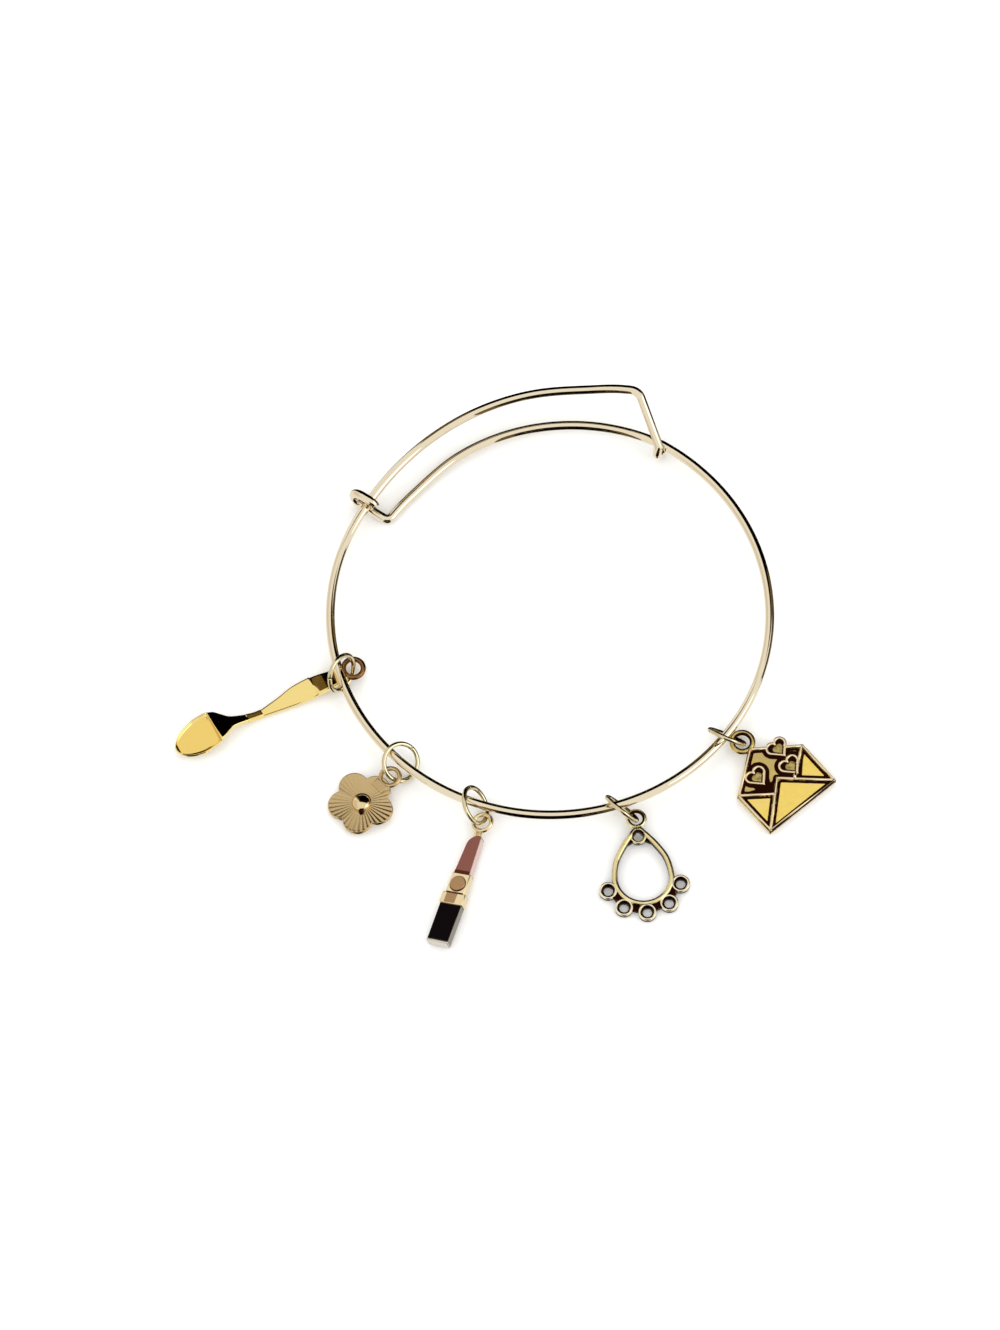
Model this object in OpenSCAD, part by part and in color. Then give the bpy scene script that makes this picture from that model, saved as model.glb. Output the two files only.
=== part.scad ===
// Charm bangle: one sprung wire with two sliding hooks, and five charms
// on jump rings, lying flat on a table. The origin is the middle of the
// wrist ring on the table, +Z is up.

/* [Bangle wire] */
// Diameter of the wrist ring, from wire middle to wire middle
ring_d = 65; // [58:1:72]
// Thickness of the bangle wire
wire_d = 1.35; // [1.2:0.05:1.5]
// Clear gap between a hook and the wire that it slides on
hook_gap = 0.2; // [0.15:0.05:0.4]
// Angle round the ring of the left hook
left_hook_at = 146; // [140:1:152]
// Angle round the ring of the right hook
right_hook_at = 59; // [54:1:64]
// How far the left hook's loop is drawn out past the wire
left_loop_length = 1.0; // [0.6:0.1:1.6]
// How far the raised run stands outside the ring where it ends
raised_end_w = 4.1; // [3:0.1:5]
// How far the raised run stands above the ring where it ends
raised_end_h = 5.3; // [4.5:0.1:6.5]
// Distance round the ring from the right hook to the raised corner
leg_length = 5.6; // [4:0.1:7]
// How far the lowered run lies inside the ring where it ends
lowered_end_w = 3.7; // [3:0.1:4.5]
// Length of the bend at each corner of the wire
corner_length = 1.1; // [0.8:0.1:1.5]

/* [Jump rings] */
// Clear inside diameter of a jump ring
jump_bore = 4.8; // [4.6:0.1:5.2]
// Thickness of the jump ring wire
jump_wire_d = 0.7; // [0.6:0.05:0.8]
// Width of the cut where a jump ring opens
jump_cut_w = 0.12; // [0.08:0.02:0.2]

/* [Spoon charm] */
// Length from the middle of the spoon's eye to the tip of its bowl
spoon_length = 29.3; // [26:0.5:33]
// Length of the bowl
bowl_length = 9; // [7.5:0.5:10]
// Greatest width of the bowl
bowl_w = 5.5; // [4.7:0.2:6.5]
// Depth of the hollow in the bowl
bowl_depth = 1.1; // [0.8:0.1:1.4]
// Thickness of the bowl's wall
bowl_wall = 0.6; // [0.5:0.1:0.8]
// Greatest width of the handle
handle_w = 3.2; // [2.8:0.1:3.6]
// Thickness of the handle
handle_t = 1.0; // [0.8:0.1:1.1]
// How much higher the bowl's rim is at the neck than at its middle
neck_h = 0.4; // [0:0.1:0.6]
// Clear gap between the handle and the bangle wire above it
under_gap = 0.15; // [0.1:0.05:0.3]
// Spare room for the jump ring in the spoon's eye
spoon_eye_gap = 1.45; // [1.4:0.05:1.7]
// Thickness of the spoon's eye
spoon_eye_wall = 0.8; // [0.7:0.05:0.85]

/* [Flower charm] */
// Distance from the middle of the flower to a petal's tip
flower_r = 5.0; // [4.6:0.1:5.6]
// Thickness of the flower at its rim
flower_rim_t = 0.7; // [0.6:0.1:1]
// Height of the domed face above the rim
flower_dome_h = 0.5; // [0.3:0.1:0.7]
// Number of petals
petals = 5; // [4:1:6]
// Width of the web that joins the flower to its eye
flower_web_w = 2.2; // [1.8:0.1:2.6]
// Number of cut rays on the face
rays = 40; // [30:5:50]
// Depth of a ray
ray_depth = 0.18; // [0.12:0.02:0.24]
// Diameter of the round boss in the middle
boss_d = 2.5; // [2:0.1:3]
// Spare room for the jump ring in the flower's eye
flower_eye_gap = 1.4; // [1.3:0.05:1.7]
// Thickness of the flower's eye
flower_eye_wall = 0.7; // [0.6:0.05:0.8]

/* [Lipstick charm] */
// Thickness of the lipstick's body
stick_t = 1.5; // [1.3:0.1:1.8]
// Width of the case
case_w = 3.4; // [3.1:0.1:3.6]
// Length of the case
case_length = 6.4; // [5.8:0.1:7.5]
// Length of bare metal at the foot of the case
case_foot_length = 0.4; // [0.3:0.1:0.8]
// Width of the collar
collar_w = 3.7; // [3.5:0.1:4]
// Length of the collar
collar_length = 1.8; // [1.5:0.1:2.3]
// How far the collar stands proud of the body
collar_h = 0.1; // [0.05:0.05:0.2]
// Width of the band that carries the plain disc
band_w = 2.9; // [2.7:0.1:3.3]
// Length of the band
band_length = 3.3; // [2.8:0.1:3.8]
// Diameter of the plain disc on the band
disc_d = 2.4; // [2:0.1:2.6]
// How far the plain disc stands proud of the band
disc_h = 0.2; // [0.1:0.05:0.3]
// Length of the lip colour
bullet_length = 6.6; // [6:0.1:7.5]
// Width of the lip colour where it leaves the band
bullet_w = 2.5; // [2.3:0.1:2.8]
// Width of the lip colour at its slanted end
bullet_tip_w = 1.9; // [1.6:0.1:2.2]
// How much further back one side of the slanted end starts
bullet_slant_length = 0.9; // [0.6:0.1:1.2]
// Length of the neck between the lip colour and the eye
stick_neck_length = 1.1; // [0.9:0.1:1.4]
// Width of that neck
stick_neck_w = 1.2; // [1:0.1:1.4]
// Width of the metal edge round the enamel
enamel_edge_w = 0.2; // [0.15:0.05:0.3]
// Depth of the enamel
enamel_depth = 0.45; // [0.35:0.05:0.6]
// Clear gap round the enamel
enamel_gap = 0.04; // [0.03:0.01:0.06]
// Spare room for the jump ring in the lipstick's eye
stick_eye_gap = 1.35; // [1.3:0.05:1.6]
// Thickness of the lipstick's eye
stick_eye_wall = 0.66; // [0.6:0.02:0.7]

/* [Teardrop charm] */
// Clear width of the hoop
hoop_bore = 7.6; // [6.8:0.1:8.6]
// Width of the hoop's bar
hoop_bar_w = 0.8; // [0.7:0.05:1]
// Distance from the point of the drop to the middle of its round end
drop_length = 8.15; // [7.5:0.05:9]
// Thickness of the teardrop charm
hoop_t = 1.1; // [0.9:0.1:1.3]
// Number of small eyelets round the round end
eyelets = 5; // [3:2:5]
// Outside diameter of an eyelet
eyelet_d = 2.65; // [2.4:0.05:2.9]
// Bore of an eyelet
eyelet_bore = 1.4; // [1.2:0.05:1.5]
// Angle between two eyelets, seen from the middle of the round end
eyelet_step = 36.5; // [35:0.5:38]
// Outside diameter of the eyelet inside the point of the drop
inner_eye_d = 2.5; // [2.2:0.1:2.7]
// Bore of that eyelet
inner_eye_bore = 1.4; // [1.2:0.05:1.5]
// Spare room for the jump ring in the teardrop's eye
drop_eye_gap = 1.15; // [1.1:0.05:1.4]
// Thickness of the teardrop's eye
drop_eye_wall = 0.62; // [0.55:0.02:0.7]

/* [Envelope charm] */
// Width of the envelope
letter_w = 12.9; // [11.5:0.2:14.5]
// Height of the envelope without its flap
letter_h = 7.4; // [6.6:0.2:8.4]
// Height of the open flap
flap_h = 4.8; // [4.2:0.2:5.4]
// Thickness of the envelope's plate
letter_t = 0.9; // [0.8:0.1:1.1]
// Height of the raised lines
line_h = 0.3; // [0.2:0.05:0.4]
// Width of the raised lines
line_w = 0.45; // [0.35:0.05:0.55]
// Width of a heart
heart_w = 3.5; // [3:0.1:3.8]
// Width of a heart's raised outline
heart_line_w = 0.4; // [0.3:0.05:0.5]
// Spare room for the jump ring in the envelope's eye
letter_eye_gap = 1.5; // [1.4:0.05:1.8]
// Thickness of the envelope's eye
letter_eye_wall = 0.85; // [0.75:0.05:0.95]

/* [Hidden] */

$fn = 48;
over = 0.5;              // how far a cutter runs past what it cuts
rest_gap = 0.01;         // how far a resting foot clears the table
eye_sink = 0.1;          // how far a charm's point runs into its eye

ring_r = ring_d / 2;
wire_r = wire_d / 2;
hook_pitch = wire_d + hook_gap;      // wire middle to hook middle
wire_z = wire_r + hook_pitch;        // the ring stands on its two hooks
jump_r = (jump_bore + jump_wire_d) / 2;

// Each link is a jump ring and the eye that hangs on it. The ring's middle is
// given by its angle round the bangle and its distance outside the wire's
// middle, as a share of the ring's radius; lean is the way it leans, tilt is
// its slope from the table, and eye_at is where on the ring the charm's eye
// hangs, from its lowest point.
AT = 0; OUT = 1; LEAN = 2; TILT = 3; EYE_AT = 4;
//                  at     out    lean    tilt   eye_at
SPOON_LINK =    [-162.4,  -0.073, -33.0,   68.0,   52.5];
FLOWER_LINK =   [-132.7,   0.0,   -42.5,   37.0,  -80.0];
LIPSTICK_LINK = [-109.5,   0.182,   2.1,   52.6,  -55.7];
TEARDROP_LINK = [ -71.6,   0.364,  47.5,   65.0,  -52.0];
LETTER_LINK =   [ -37.6,   0.145,  64.5,   62.0,  -50.5];

// Way in which each charm points from its eye, and how it rolls about that way
SPOON_WAY = 206.3;
FLOWER_WAY = 222.6;
FLOWER_ROLL = 5;
LIPSTICK_WAY = 251.6;
LIPSTICK_ROLL = 16;
TEARDROP_WAY = 276.3;
LETTER_WAY = 311;

function polar(r, a, z = 0) = [r * cos(a), r * sin(a), z];
function unit(v) = v / norm(v);
function mix(a, b, f) = a + (b - a) * f;

// A smooth value between the rows of a table column, at row number t
function smooth_at(rows, column, t) =
    let (last = len(rows) - 1,
         i = min(floor(t), last - 1),
         f = t - i,
         p0 = rows[max(i - 1, 0)][column],
         p1 = rows[i][column],
         p2 = rows[i + 1][column],
         p3 = rows[min(i + 2, last)][column])
    0.5 * (2 * p1 + (p2 - p0) * f + (2 * p0 - 5 * p1 + 4 * p2 - p3) * f * f
        + (3 * p1 - p0 - 3 * p2 + p3) * f * f * f);

// Frame of a jump ring: its middle, and a point on its middle line
function jump_z(link) = jump_r * sin(link[TILT]) + jump_wire_d / 2;
function jump_middle(link) = polar(ring_r + link[OUT] * jump_r, link[AT], jump_z(link));
function jump_point(link, a) =
    let (down = polar(cos(link[TILT]), link[LEAN], -sin(link[TILT])),
         across = polar(1, link[LEAN] + 90))
    jump_middle(link) + jump_r * (cos(a) * down + sin(a) * across);
function eye_point(link) = jump_point(link, link[EYE_AT]);

// Slope at which a charm lies when its ring holds its eye up and the lowest
// of its feet rests on the table. A foot is [along, across, depth below the
// charm's middle plane].
function lie_slope(link, roll, feet) =
    min([for (foot = feet)
        let (under = foot[2] * cos(roll) - foot[1] * sin(roll))
        asin((eye_point(link)[2] - rest_gap) / norm([foot[0], under])) - atan2(under, foot[0])]);

// A tube of round wire along a list of points
WIRE_SIDES = 12;
function sweep_frame(pts) =
    let (last = len(pts) - 1)
    [for (i = 0, t = unit(pts[1] - pts[0]), u = unit(cross(t, [0.31, 0.17, 0.93]));
          i <= last;
          i = i + 1,
          t = i > last ? t : unit(pts[min(i + 1, last)] - pts[max(i - 1, 0)]),
          u = unit(u - (u * t) * t))
        [u, cross(t, u)]];

module wire_along(pts, r) {
    frames = sweep_frame(pts);
    n = WIRE_SIDES;
    last = len(pts) - 1;
    corners = [for (i = [0 : last]) for (k = [0 : n - 1])
        pts[i] + r * (cos(360 * k / n) * frames[i][0] + sin(360 * k / n) * frames[i][1])];
    sides = [for (i = [0 : last - 1]) for (k = [0 : n - 1])
        let (a = i * n + k, b = i * n + (k + 1) % n)
        for (f = [[a, b + n, b], [a, a + n, b + n]]) f];
    ends = [[for (k = [0 : n - 1]) k], [for (k = [n - 1 : -1 : 0]) last * n + k]];
    polyhedron(corners, concat(sides, ends), convexity = 6);
}

// Rounds the corner q between p and r
CORNER_STEPS = 6;
function corner(p, q, r, bend) =
    let (a = q + unit(p - q) * bend, b = q + unit(r - q) * bend)
    [for (i = [0 : CORNER_STEPS])
        let (f = i / CORNER_STEPS) mix(mix(a, q, f), mix(q, b, f), f)];

// Point at a hook: out from the wire's middle, along the ring and up from it
function at_hook(at, out, up) = polar(ring_r + out, at, wire_z + up);

RING_STEP = 3;           // degrees between two sections of the wire
CURL_STEP = 15;
SPREAD_LEAD = 2;         // degrees before the left hook where the wire parts
raised_at = right_hook_at + leg_length / ring_r * 180 / PI;
part_at = left_hook_at + SPREAD_LEAD;
full_turn = 360;

// Shares of the full spread at even steps along each run of the wire
RAISED = 0; LOWERED = 1;
RUN_SHARES = [
    // raised   lowered
    [0.00,      0.00],
    [0.08,      0.14],
    [0.22,      0.32],
    [0.39,      0.52],
    [0.56,      0.74],
    [0.72,      0.98],
    [1.00,      1.00]];
function run_share(column, f) =
    min(1, smooth_at(RUN_SHARES, column, f * (len(RUN_SHARES) - 1)));
function raised_point(a) =
    let (f = run_share(RAISED, (part_at - a) / (part_at - raised_at)))
    polar(ring_r + raised_end_w * f, a, wire_z + raised_end_h * f);
function lowered_point(a) =
    let (f = run_share(LOWERED, (a - right_hook_at) / (left_hook_at - right_hook_at)))
    polar(ring_r - lowered_end_w * f, a, wire_z - hook_pitch * f);

// Where the straight leg touches the curl round the wire
leg_far = norm([raised_end_w, raised_end_h]);
leg_touch = atan2(raised_end_h, raised_end_w) + acos(hook_pitch / leg_far);
RIGHT_TIP_AT = -75;      // where each hook ends, seen along the wire
LEFT_TIP_AT = 150;

module bangle_wire() {
    raised_corner = raised_point(raised_at);
    lowered_corner = lowered_point(left_hook_at);
    curl_turn = RIGHT_TIP_AT - (leg_touch - full_turn);
    curl_steps = ceil(curl_turn / CURL_STEP);
    right_curl = [for (i = [0 : curl_steps])
        let (a = RIGHT_TIP_AT - curl_turn * i / curl_steps)
        at_hook(right_hook_at, hook_pitch * cos(a), hook_pitch * sin(a))];
    steps = ceil((part_at - raised_at) / RING_STEP);
    raised_run = [for (i = [1 : steps]) raised_point(mix(raised_at, part_at, i / steps))];
    turn_steps = ceil((full_turn + right_hook_at - part_at) / RING_STEP);
    main_run = [for (i = [1 : turn_steps])
        polar(ring_r, mix(part_at, full_turn + right_hook_at, i / turn_steps), wire_z)];
    low_steps = ceil((left_hook_at - right_hook_at) / RING_STEP);
    lowered_run = [for (i = [1 : low_steps - 1])
        lowered_point(mix(right_hook_at, left_hook_at, i / low_steps))];
    left_turn = [for (a = [-90 : CURL_STEP : 90])
        at_hook(left_hook_at, left_loop_length + hook_pitch * cos(a), hook_pitch * sin(a))];
    left_over = [for (a = [90 : CURL_STEP : LEFT_TIP_AT])
        at_hook(left_hook_at, hook_pitch * cos(a), hook_pitch * sin(a))];
    color("#dfcfae")
        wire_along(concat(
            right_curl,
            corner(right_curl[curl_steps], raised_corner, raised_run[0], corner_length),
            raised_run, main_run, lowered_run,
            corner(lowered_run[low_steps - 2], lowered_corner, left_turn[0], corner_length),
            left_turn, left_over), wire_r);
}

// A jump ring in its place, cut open on the side away from the eye
CUT_AT = 180;
module jump_ring(link) {
    open = jump_cut_w / jump_r * 180 / PI;
    color("#c9b98f")
        translate(jump_middle(link))
            rotate([0, 0, link[LEAN]])
                rotate([0, link[TILT], 0])
                    rotate([0, 0, link[EYE_AT] + CUT_AT + open / 2])
                        rotate_extrude(angle = full_turn - open)
                            translate([jump_r, 0])
                                circle(d = jump_wire_d, $fn = 24);
}

// The round eye of a charm, about the origin
function eye_bore(gap) = jump_wire_d + gap;
function eye_r(gap, wall) = (eye_bore(gap) + wall) / 2;
module eye(gap, wall) {
    rotate_extrude()
        translate([eye_r(gap, wall), 0])
            circle(d = wall, $fn = 24);
}

// Puts a flat charm, drawn from its eye along +X, in its place
module lie(link, way, slope, roll = 0) {
    translate(eye_point(link))
        rotate([0, 0, way])
            rotate([0, slope, 0])
                rotate([roll, 0, 0])
                    children();
}

// Sections of the spoon from its eye to its tip: distance along, half the
// width, distance to the side as a share of the handle's width, height of the
// middle above the table, thickness, and share of the bowl's depth
ALONG = 0; HALF = 1; SIDE = 2; MIDDLE = 3; THICK = 4; DISH = 5;
SPOON_STEPS = 3;         // sections from one row of the table to the next
SPOON_SIDES = 9;         // points across each face of a section
EDGE_SHARE = 0.35;       // share of the thickness that is left at the edges

module spoon_charm() {
    place = eye_point(SPOON_LINK);
    eye_z = place[2];
    under_z = wire_z - wire_r - under_gap - handle_t / 2;
    low_z = handle_t / 2 + 2 * rest_gap;
    rim_z = bowl_depth + bowl_wall / 2 + 2 * rest_gap;
    neck_z = rim_z + neck_h;
    hl = spoon_length - bowl_length;
    rows = [
        // along                   half             side   middle                     thick           dish
        [eye_r(spoon_eye_gap, spoon_eye_wall),
                                   0.36 * handle_w,  0.000, mix(eye_z, under_z, 0.3),  0.6 * handle_t, 0],
        [0.160 * hl,               0.41 * handle_w,  0.025, mix(eye_z, under_z, 0.8),  0.8 * handle_t, 0],
        [0.240 * hl,               0.46 * handle_w,  0.006, under_z,                   handle_t,       0],
        [0.355 * hl,               0.50 * handle_w, -0.016, mix(under_z, low_z, 0.3),  handle_t,       0],
        [0.470 * hl,               0.45 * handle_w,  0.000, mix(under_z, low_z, 0.6),  handle_t,       0],
        [0.590 * hl,               0.32 * handle_w,  0.062, mix(under_z, low_z, 0.9),  handle_t,       0],
        [0.715 * hl,               0.18 * handle_w,  0.112, low_z,                     handle_t,       0],
        [0.810 * hl,               0.17 * handle_w,  0.100, mix(low_z, neck_z, 0.2),   handle_t,       0],
        [0.900 * hl,               0.20 * handle_w,  0.037, mix(low_z, neck_z, 0.55),  handle_t,       0],
        [0.975 * hl,               0.17 * bowl_w,  -0.025, mix(low_z, neck_z, 0.85),  0.9 * handle_t, 0],
        [hl + 0.050 * bowl_length, 0.28 * bowl_w,  -0.094, neck_z,                    1.2 * bowl_wall, 0.2],
        [hl + 0.155 * bowl_length, 0.41 * bowl_w,  -0.150, mix(neck_z, rim_z, 0.1),   bowl_wall,      0.5],
        [hl + 0.378 * bowl_length, 0.50 * bowl_w,  -0.069, mix(neck_z, rim_z, 0.55),  bowl_wall,      0.9],
        [hl + 0.589 * bowl_length, 0.49 * bowl_w,   0.016, rim_z,                     bowl_wall,      1],
        [hl + 0.800 * bowl_length, 0.38 * bowl_w,   0.078, rim_z,                     bowl_wall,      0.7],
        [hl + 0.930 * bowl_length, 0.23 * bowl_w,   0.112, rim_z,                     bowl_wall,      0.3],
        [spoon_length,             0.06 * bowl_w,   0.131, rim_z,                     0.8 * bowl_wall, 0]];
    last = (len(rows) - 1) * SPOON_STEPS;
    n = SPOON_SIDES;
    sections = [for (i = [0 : last])
        let (t = i / SPOON_STEPS,
             x = smooth_at(rows, ALONG, t),
             w = smooth_at(rows, HALF, t),
             y = smooth_at(rows, SIDE, t) * handle_w,
             z = smooth_at(rows, MIDDLE, t),
             h = smooth_at(rows, THICK, t) / 2,
             d = smooth_at(rows, DISH, t) * bowl_depth,
             across = [for (k = [0 : n - 1]) -cos(180 * k / (n - 1))],
             half = [for (s = across) h * mix(EDGE_SHARE, 1, sqrt(1 - pow(s, 4)))])
        concat(
            [for (k = [0 : n - 1]) [x, y + w * across[k], z - d * (1 - pow(across[k], 2)) - half[k]]],
            [for (k = [n - 1 : -1 : 0]) [x, y + w * across[k], z - d * (1 - pow(across[k], 2)) + half[k]]])];
    m = 2 * n;
    corners = [for (section = sections) for (p = section) p];
    sides = [for (i = [0 : last - 1]) for (k = [0 : m - 1])
        let (a = i * m + k, b = i * m + (k + 1) % m)
        for (f = [[a, b + m, b], [a, a + m, b + m]]) f];
    ends = [[for (k = [0 : m - 1]) k], [for (k = [m - 1 : -1 : 0]) last * m + k]];
    color("#e3c466")
        translate([place[0], place[1], 0])
            rotate([0, 0, SPOON_WAY]) {
                polyhedron(corners, concat(sides, ends), convexity = 6);
                translate([0, 0, eye_z])
                    eye(spoon_eye_gap, spoon_eye_wall);
            }
}

// The flower is drawn with its middle at flower_at from its eye
PETAL_SHARE = 0.45;      // a petal's radius as a share of the flower's
petal_r = PETAL_SHARE * flower_r;
petal_at = flower_r - petal_r;
flower_eye_r = eye_r(flower_eye_gap, flower_eye_wall);
flower_at = flower_eye_r + petal_at + 0.7 * petal_r;
full_t = flower_rim_t + flower_dome_h;

function petal_way(i) = 180 + i * full_turn / petals;

module flower_outline() {
    circle(r = petal_at);
    for (i = [0 : petals - 1])
        rotate(petal_way(i))
            translate([petal_at, 0])
                circle(r = petal_r);
}

// Half section of the domed disc that the petals are cut from
DOME_STEPS = 8;
module dome_profile() {
    dome_r = (pow(flower_r, 2) + pow(flower_dome_h, 2)) / (2 * flower_dome_h);
    edge_r = flower_r + over;
    polygon(concat([[0, -over], [edge_r, -over]],
        [for (i = [DOME_STEPS : -1 : 0])
            let (a = asin(edge_r / dome_r) * i / DOME_STEPS)
            [dome_r * sin(a), full_t - dome_r * (1 - cos(a))]]));
}

module flower_charm() {
    boss_h = 0.36 * boss_d;
    ray_w = 0.8 * full_turn / rays * PI / 180 * flower_r;
    ray_slope = atan2(flower_dome_h, flower_r - boss_d / 2);
    feet = [for (i = [0 : petals - 1]) for (a = [0 : 15 : full_turn])
        [flower_at, 0, full_t / 2] + polar(petal_at, petal_way(i)) + polar(petal_r, a)];
    slope = lie_slope(FLOWER_LINK, FLOWER_ROLL, feet);
    color("#c9a86c")
        lie(FLOWER_LINK, FLOWER_WAY, slope, FLOWER_ROLL) {
            translate([flower_at, 0, -full_t / 2]) {
                difference() {
                    intersection() {
                        linear_extrude(full_t + over)
                            flower_outline();
                        rotate_extrude()
                            dome_profile();
                    }
                    for (i = [0 : rays - 1])
                        rotate([0, 0, (i + 0.5) * full_turn / rays])
                            translate([boss_d / 2, 0, full_t])
                                rotate([0, ray_slope, 0])
                                    rotate([90, 0, 90])
                                        linear_extrude(flower_r)
                                            polygon([[0, -ray_depth], [ray_w / 2, ray_depth],
                                                [-ray_w / 2, ray_depth]]);
                }
                translate([0, 0, full_t - boss_h / 2])
                    intersection() {
                        translate([0, 0, boss_h - boss_d / 2])
                            sphere(d = boss_d);
                        cylinder(d = boss_d + over, h = boss_h + over);
                    }
            }
            eye(flower_eye_gap, flower_eye_wall);
            translate([flower_eye_r, -flower_web_w / 2, -flower_rim_t / 2])
                cube([0.6 * petal_r, flower_web_w, flower_rim_t]);
        }
}

// The lipstick is drawn along +X from its eye, with its face up
bullet_from = eye_r(stick_eye_gap, stick_eye_wall) + stick_neck_length;
band_from = bullet_from + bullet_length;
collar_from = band_from + band_length;
case_from = collar_from + collar_length;
stick_end = case_from + case_length;
neck_t = 2 * (stick_t / 2 - enamel_depth) - 2 * enamel_gap;

module bullet_outline(edge) {
    polygon([
        [bullet_from + bullet_slant_length + edge, -bullet_tip_w / 2 + edge],
        [bullet_from + edge, 0.1 * bullet_tip_w],
        [bullet_from + edge, bullet_tip_w / 2 - edge],
        [band_from - edge, bullet_w / 2 - edge],
        [band_from - edge, -bullet_w / 2 + edge]]);
}

module case_outline(edge) {
    translate([case_from + edge, -case_w / 2 + edge])
        square([case_length - case_foot_length - 2 * edge, case_w - 2 * edge]);
}

// A block of the lipstick's body, its underside on the body's underside
module stick_block(from, to, width, height = stick_t) {
    translate([from, -width / 2, -stick_t / 2])
        cube([to - from, width, height]);
}

module lie_lipstick() {
    feet = [for (side = [-1, 1]) for (f = [[stick_end, case_w], [case_from, collar_w]])
        [f[0], side * f[1] / 2, stick_t / 2]];
    lie(LIPSTICK_LINK, LIPSTICK_WAY, lie_slope(LIPSTICK_LINK, LIPSTICK_ROLL, feet), LIPSTICK_ROLL)
        children();
}

module lipstick_charm() {
    color("#e2cfa2")
        lie_lipstick() {
            eye(stick_eye_gap, stick_eye_wall);
            difference() {
                union() {
                    translate([0, 0, -stick_t / 2])
                        linear_extrude(stick_t)
                            bullet_outline(0);
                    translate([bullet_from - stick_neck_length, -stick_neck_w / 2, -neck_t / 2])
                        cube([stick_neck_length + bullet_slant_length + over, stick_neck_w, neck_t]);
                    stick_block(band_from - enamel_edge_w / 2, collar_from + enamel_edge_w, band_w);
                    stick_block(collar_from, case_from, collar_w, stick_t + collar_h);
                    stick_block(case_from - enamel_edge_w, stick_end, case_w);
                    translate([band_from + band_length / 2, 0, -stick_t / 2])
                        cylinder(d = disc_d, h = stick_t + disc_h);
                }
                translate([0, 0, stick_t / 2 - enamel_depth])
                    linear_extrude(enamel_depth + over) {
                        bullet_outline(enamel_edge_w);
                        case_outline(enamel_edge_w);
                    }
            }
        }
}

module enamel() {
    translate([0, 0, stick_t / 2 - enamel_depth + enamel_gap])
        linear_extrude(enamel_depth)
            children();
}

module lipstick_pink_enamel() {
    color("#a05a4c")
        lie_lipstick()
            enamel()
                bullet_outline(enamel_edge_w + enamel_gap);
}

module lipstick_black_enamel() {
    color("#120c0c")
        lie_lipstick()
            enamel()
                case_outline(enamel_edge_w + enamel_gap);
}

// The teardrop is drawn with its point by its eye and its round end about
// hoop_at. Rows of its sides from the point to the middle of the round end:
// share of the length, half the width as a share of the round end's radius,
// and how many times wider than the bar its slanting side measures.
DOWN = 0; WIDE = 1; SLANT = 2;
DROP_SIDE = [
    // down   wide    slant
    [0.00,    0.09,   1.3],
    [0.07,    0.18,   1.3],
    [0.20,    0.38,   1.3],
    [0.36,    0.60,   1.25],
    [0.61,    0.86,   1.1],
    [0.82,    0.965,  1.02],
    [1.00,    1.00,   1.0]];
DROP_STEPS = 4;          // points from one row of the table to the next
ROUND_STEP = 6;          // degrees between points of the round end
INNER_START = 1.5;       // row of the table where the opening starts

drop_eye_r = eye_r(drop_eye_gap, drop_eye_wall);
hoop_r = hoop_bore / 2 + hoop_bar_w;
drop_from = drop_eye_r - eye_sink;
hoop_at = drop_from + drop_length;
eyelet_at = hoop_r + 0.38 * eyelet_d;
inner_eye_at = drop_from + 0.2 * drop_length;

// Outline of the drop, moved in by so many widths of the bar from row start
module drop_outline(bars, start) {
    last = len(DROP_SIDE) - 1;
    side = [for (t = [start : 1 / DROP_STEPS : last - 1 / DROP_STEPS])
        [drop_from + drop_length * smooth_at(DROP_SIDE, DOWN, t),
         hoop_r * smooth_at(DROP_SIDE, WIDE, t) - bars * hoop_bar_w * smooth_at(DROP_SIDE, SLANT, t)]];
    round_r = hoop_r - bars * hoop_bar_w;
    polygon(concat(
        side,
        [for (a = [90 : -ROUND_STEP : -90]) [hoop_at + round_r * cos(a), round_r * sin(a)]],
        [for (i = [len(side) - 1 : -1 : 0]) [side[i][0], -side[i][1]]]));
}

// Puts its children at each eyelet of the round end
module at_eyelets() {
    for (i = [0 : eyelets - 1])
        translate([hoop_at, 0, 0])
            rotate([0, 0, (i - (eyelets - 1) / 2) * eyelet_step])
                translate([eyelet_at, 0, 0])
                    children();
}

module teardrop_charm() {
    web_half = (eyelets - 1) / 2 * eyelet_step;
    web_out = 0.19 * eyelet_d;   // how far the web reaches out of the hoop
    feet = [[hoop_at + eyelet_at + eyelet_d / 2, 0, hoop_t / 2]];
    color("#d9c07a")
        lie(TEARDROP_LINK, TEARDROP_WAY, lie_slope(TEARDROP_LINK, 0, feet)) {
            eye(drop_eye_gap, drop_eye_wall);
            translate([0, 0, -hoop_t / 2])
                difference() {
                    union() {
                        linear_extrude(hoop_t)
                            difference() {
                                drop_outline(0, 0);
                                drop_outline(1, INNER_START);
                            }
                        translate([inner_eye_at, 0, 0])
                            cylinder(d = inner_eye_d, h = 0.8 * hoop_t);
                        at_eyelets()
                            cylinder(d = eyelet_d, h = 0.85 * hoop_t);
                        // low web between the eyelets
                        translate([hoop_at, 0, 0])
                            rotate([0, 0, -web_half])
                                rotate_extrude(angle = 2 * web_half)
                                    translate([hoop_r - hoop_bar_w / 2, 0])
                                        square([hoop_bar_w / 2 + web_out, 0.5 * hoop_t]);
                    }
                    translate([inner_eye_at, 0, -over])
                        cylinder(d = inner_eye_bore, h = hoop_t + 2 * over);
                    at_eyelets()
                        translate([0, 0, -over])
                            cylinder(d = eyelet_bore, h = hoop_t + 2 * over);
                }
            // foot that joins the eye to the point of the drop
            translate([drop_eye_r, -drop_eye_wall, -drop_eye_wall / 2])
                cube([0.1 * drop_length, 2 * drop_eye_wall, drop_eye_wall]);
        }
}

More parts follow.
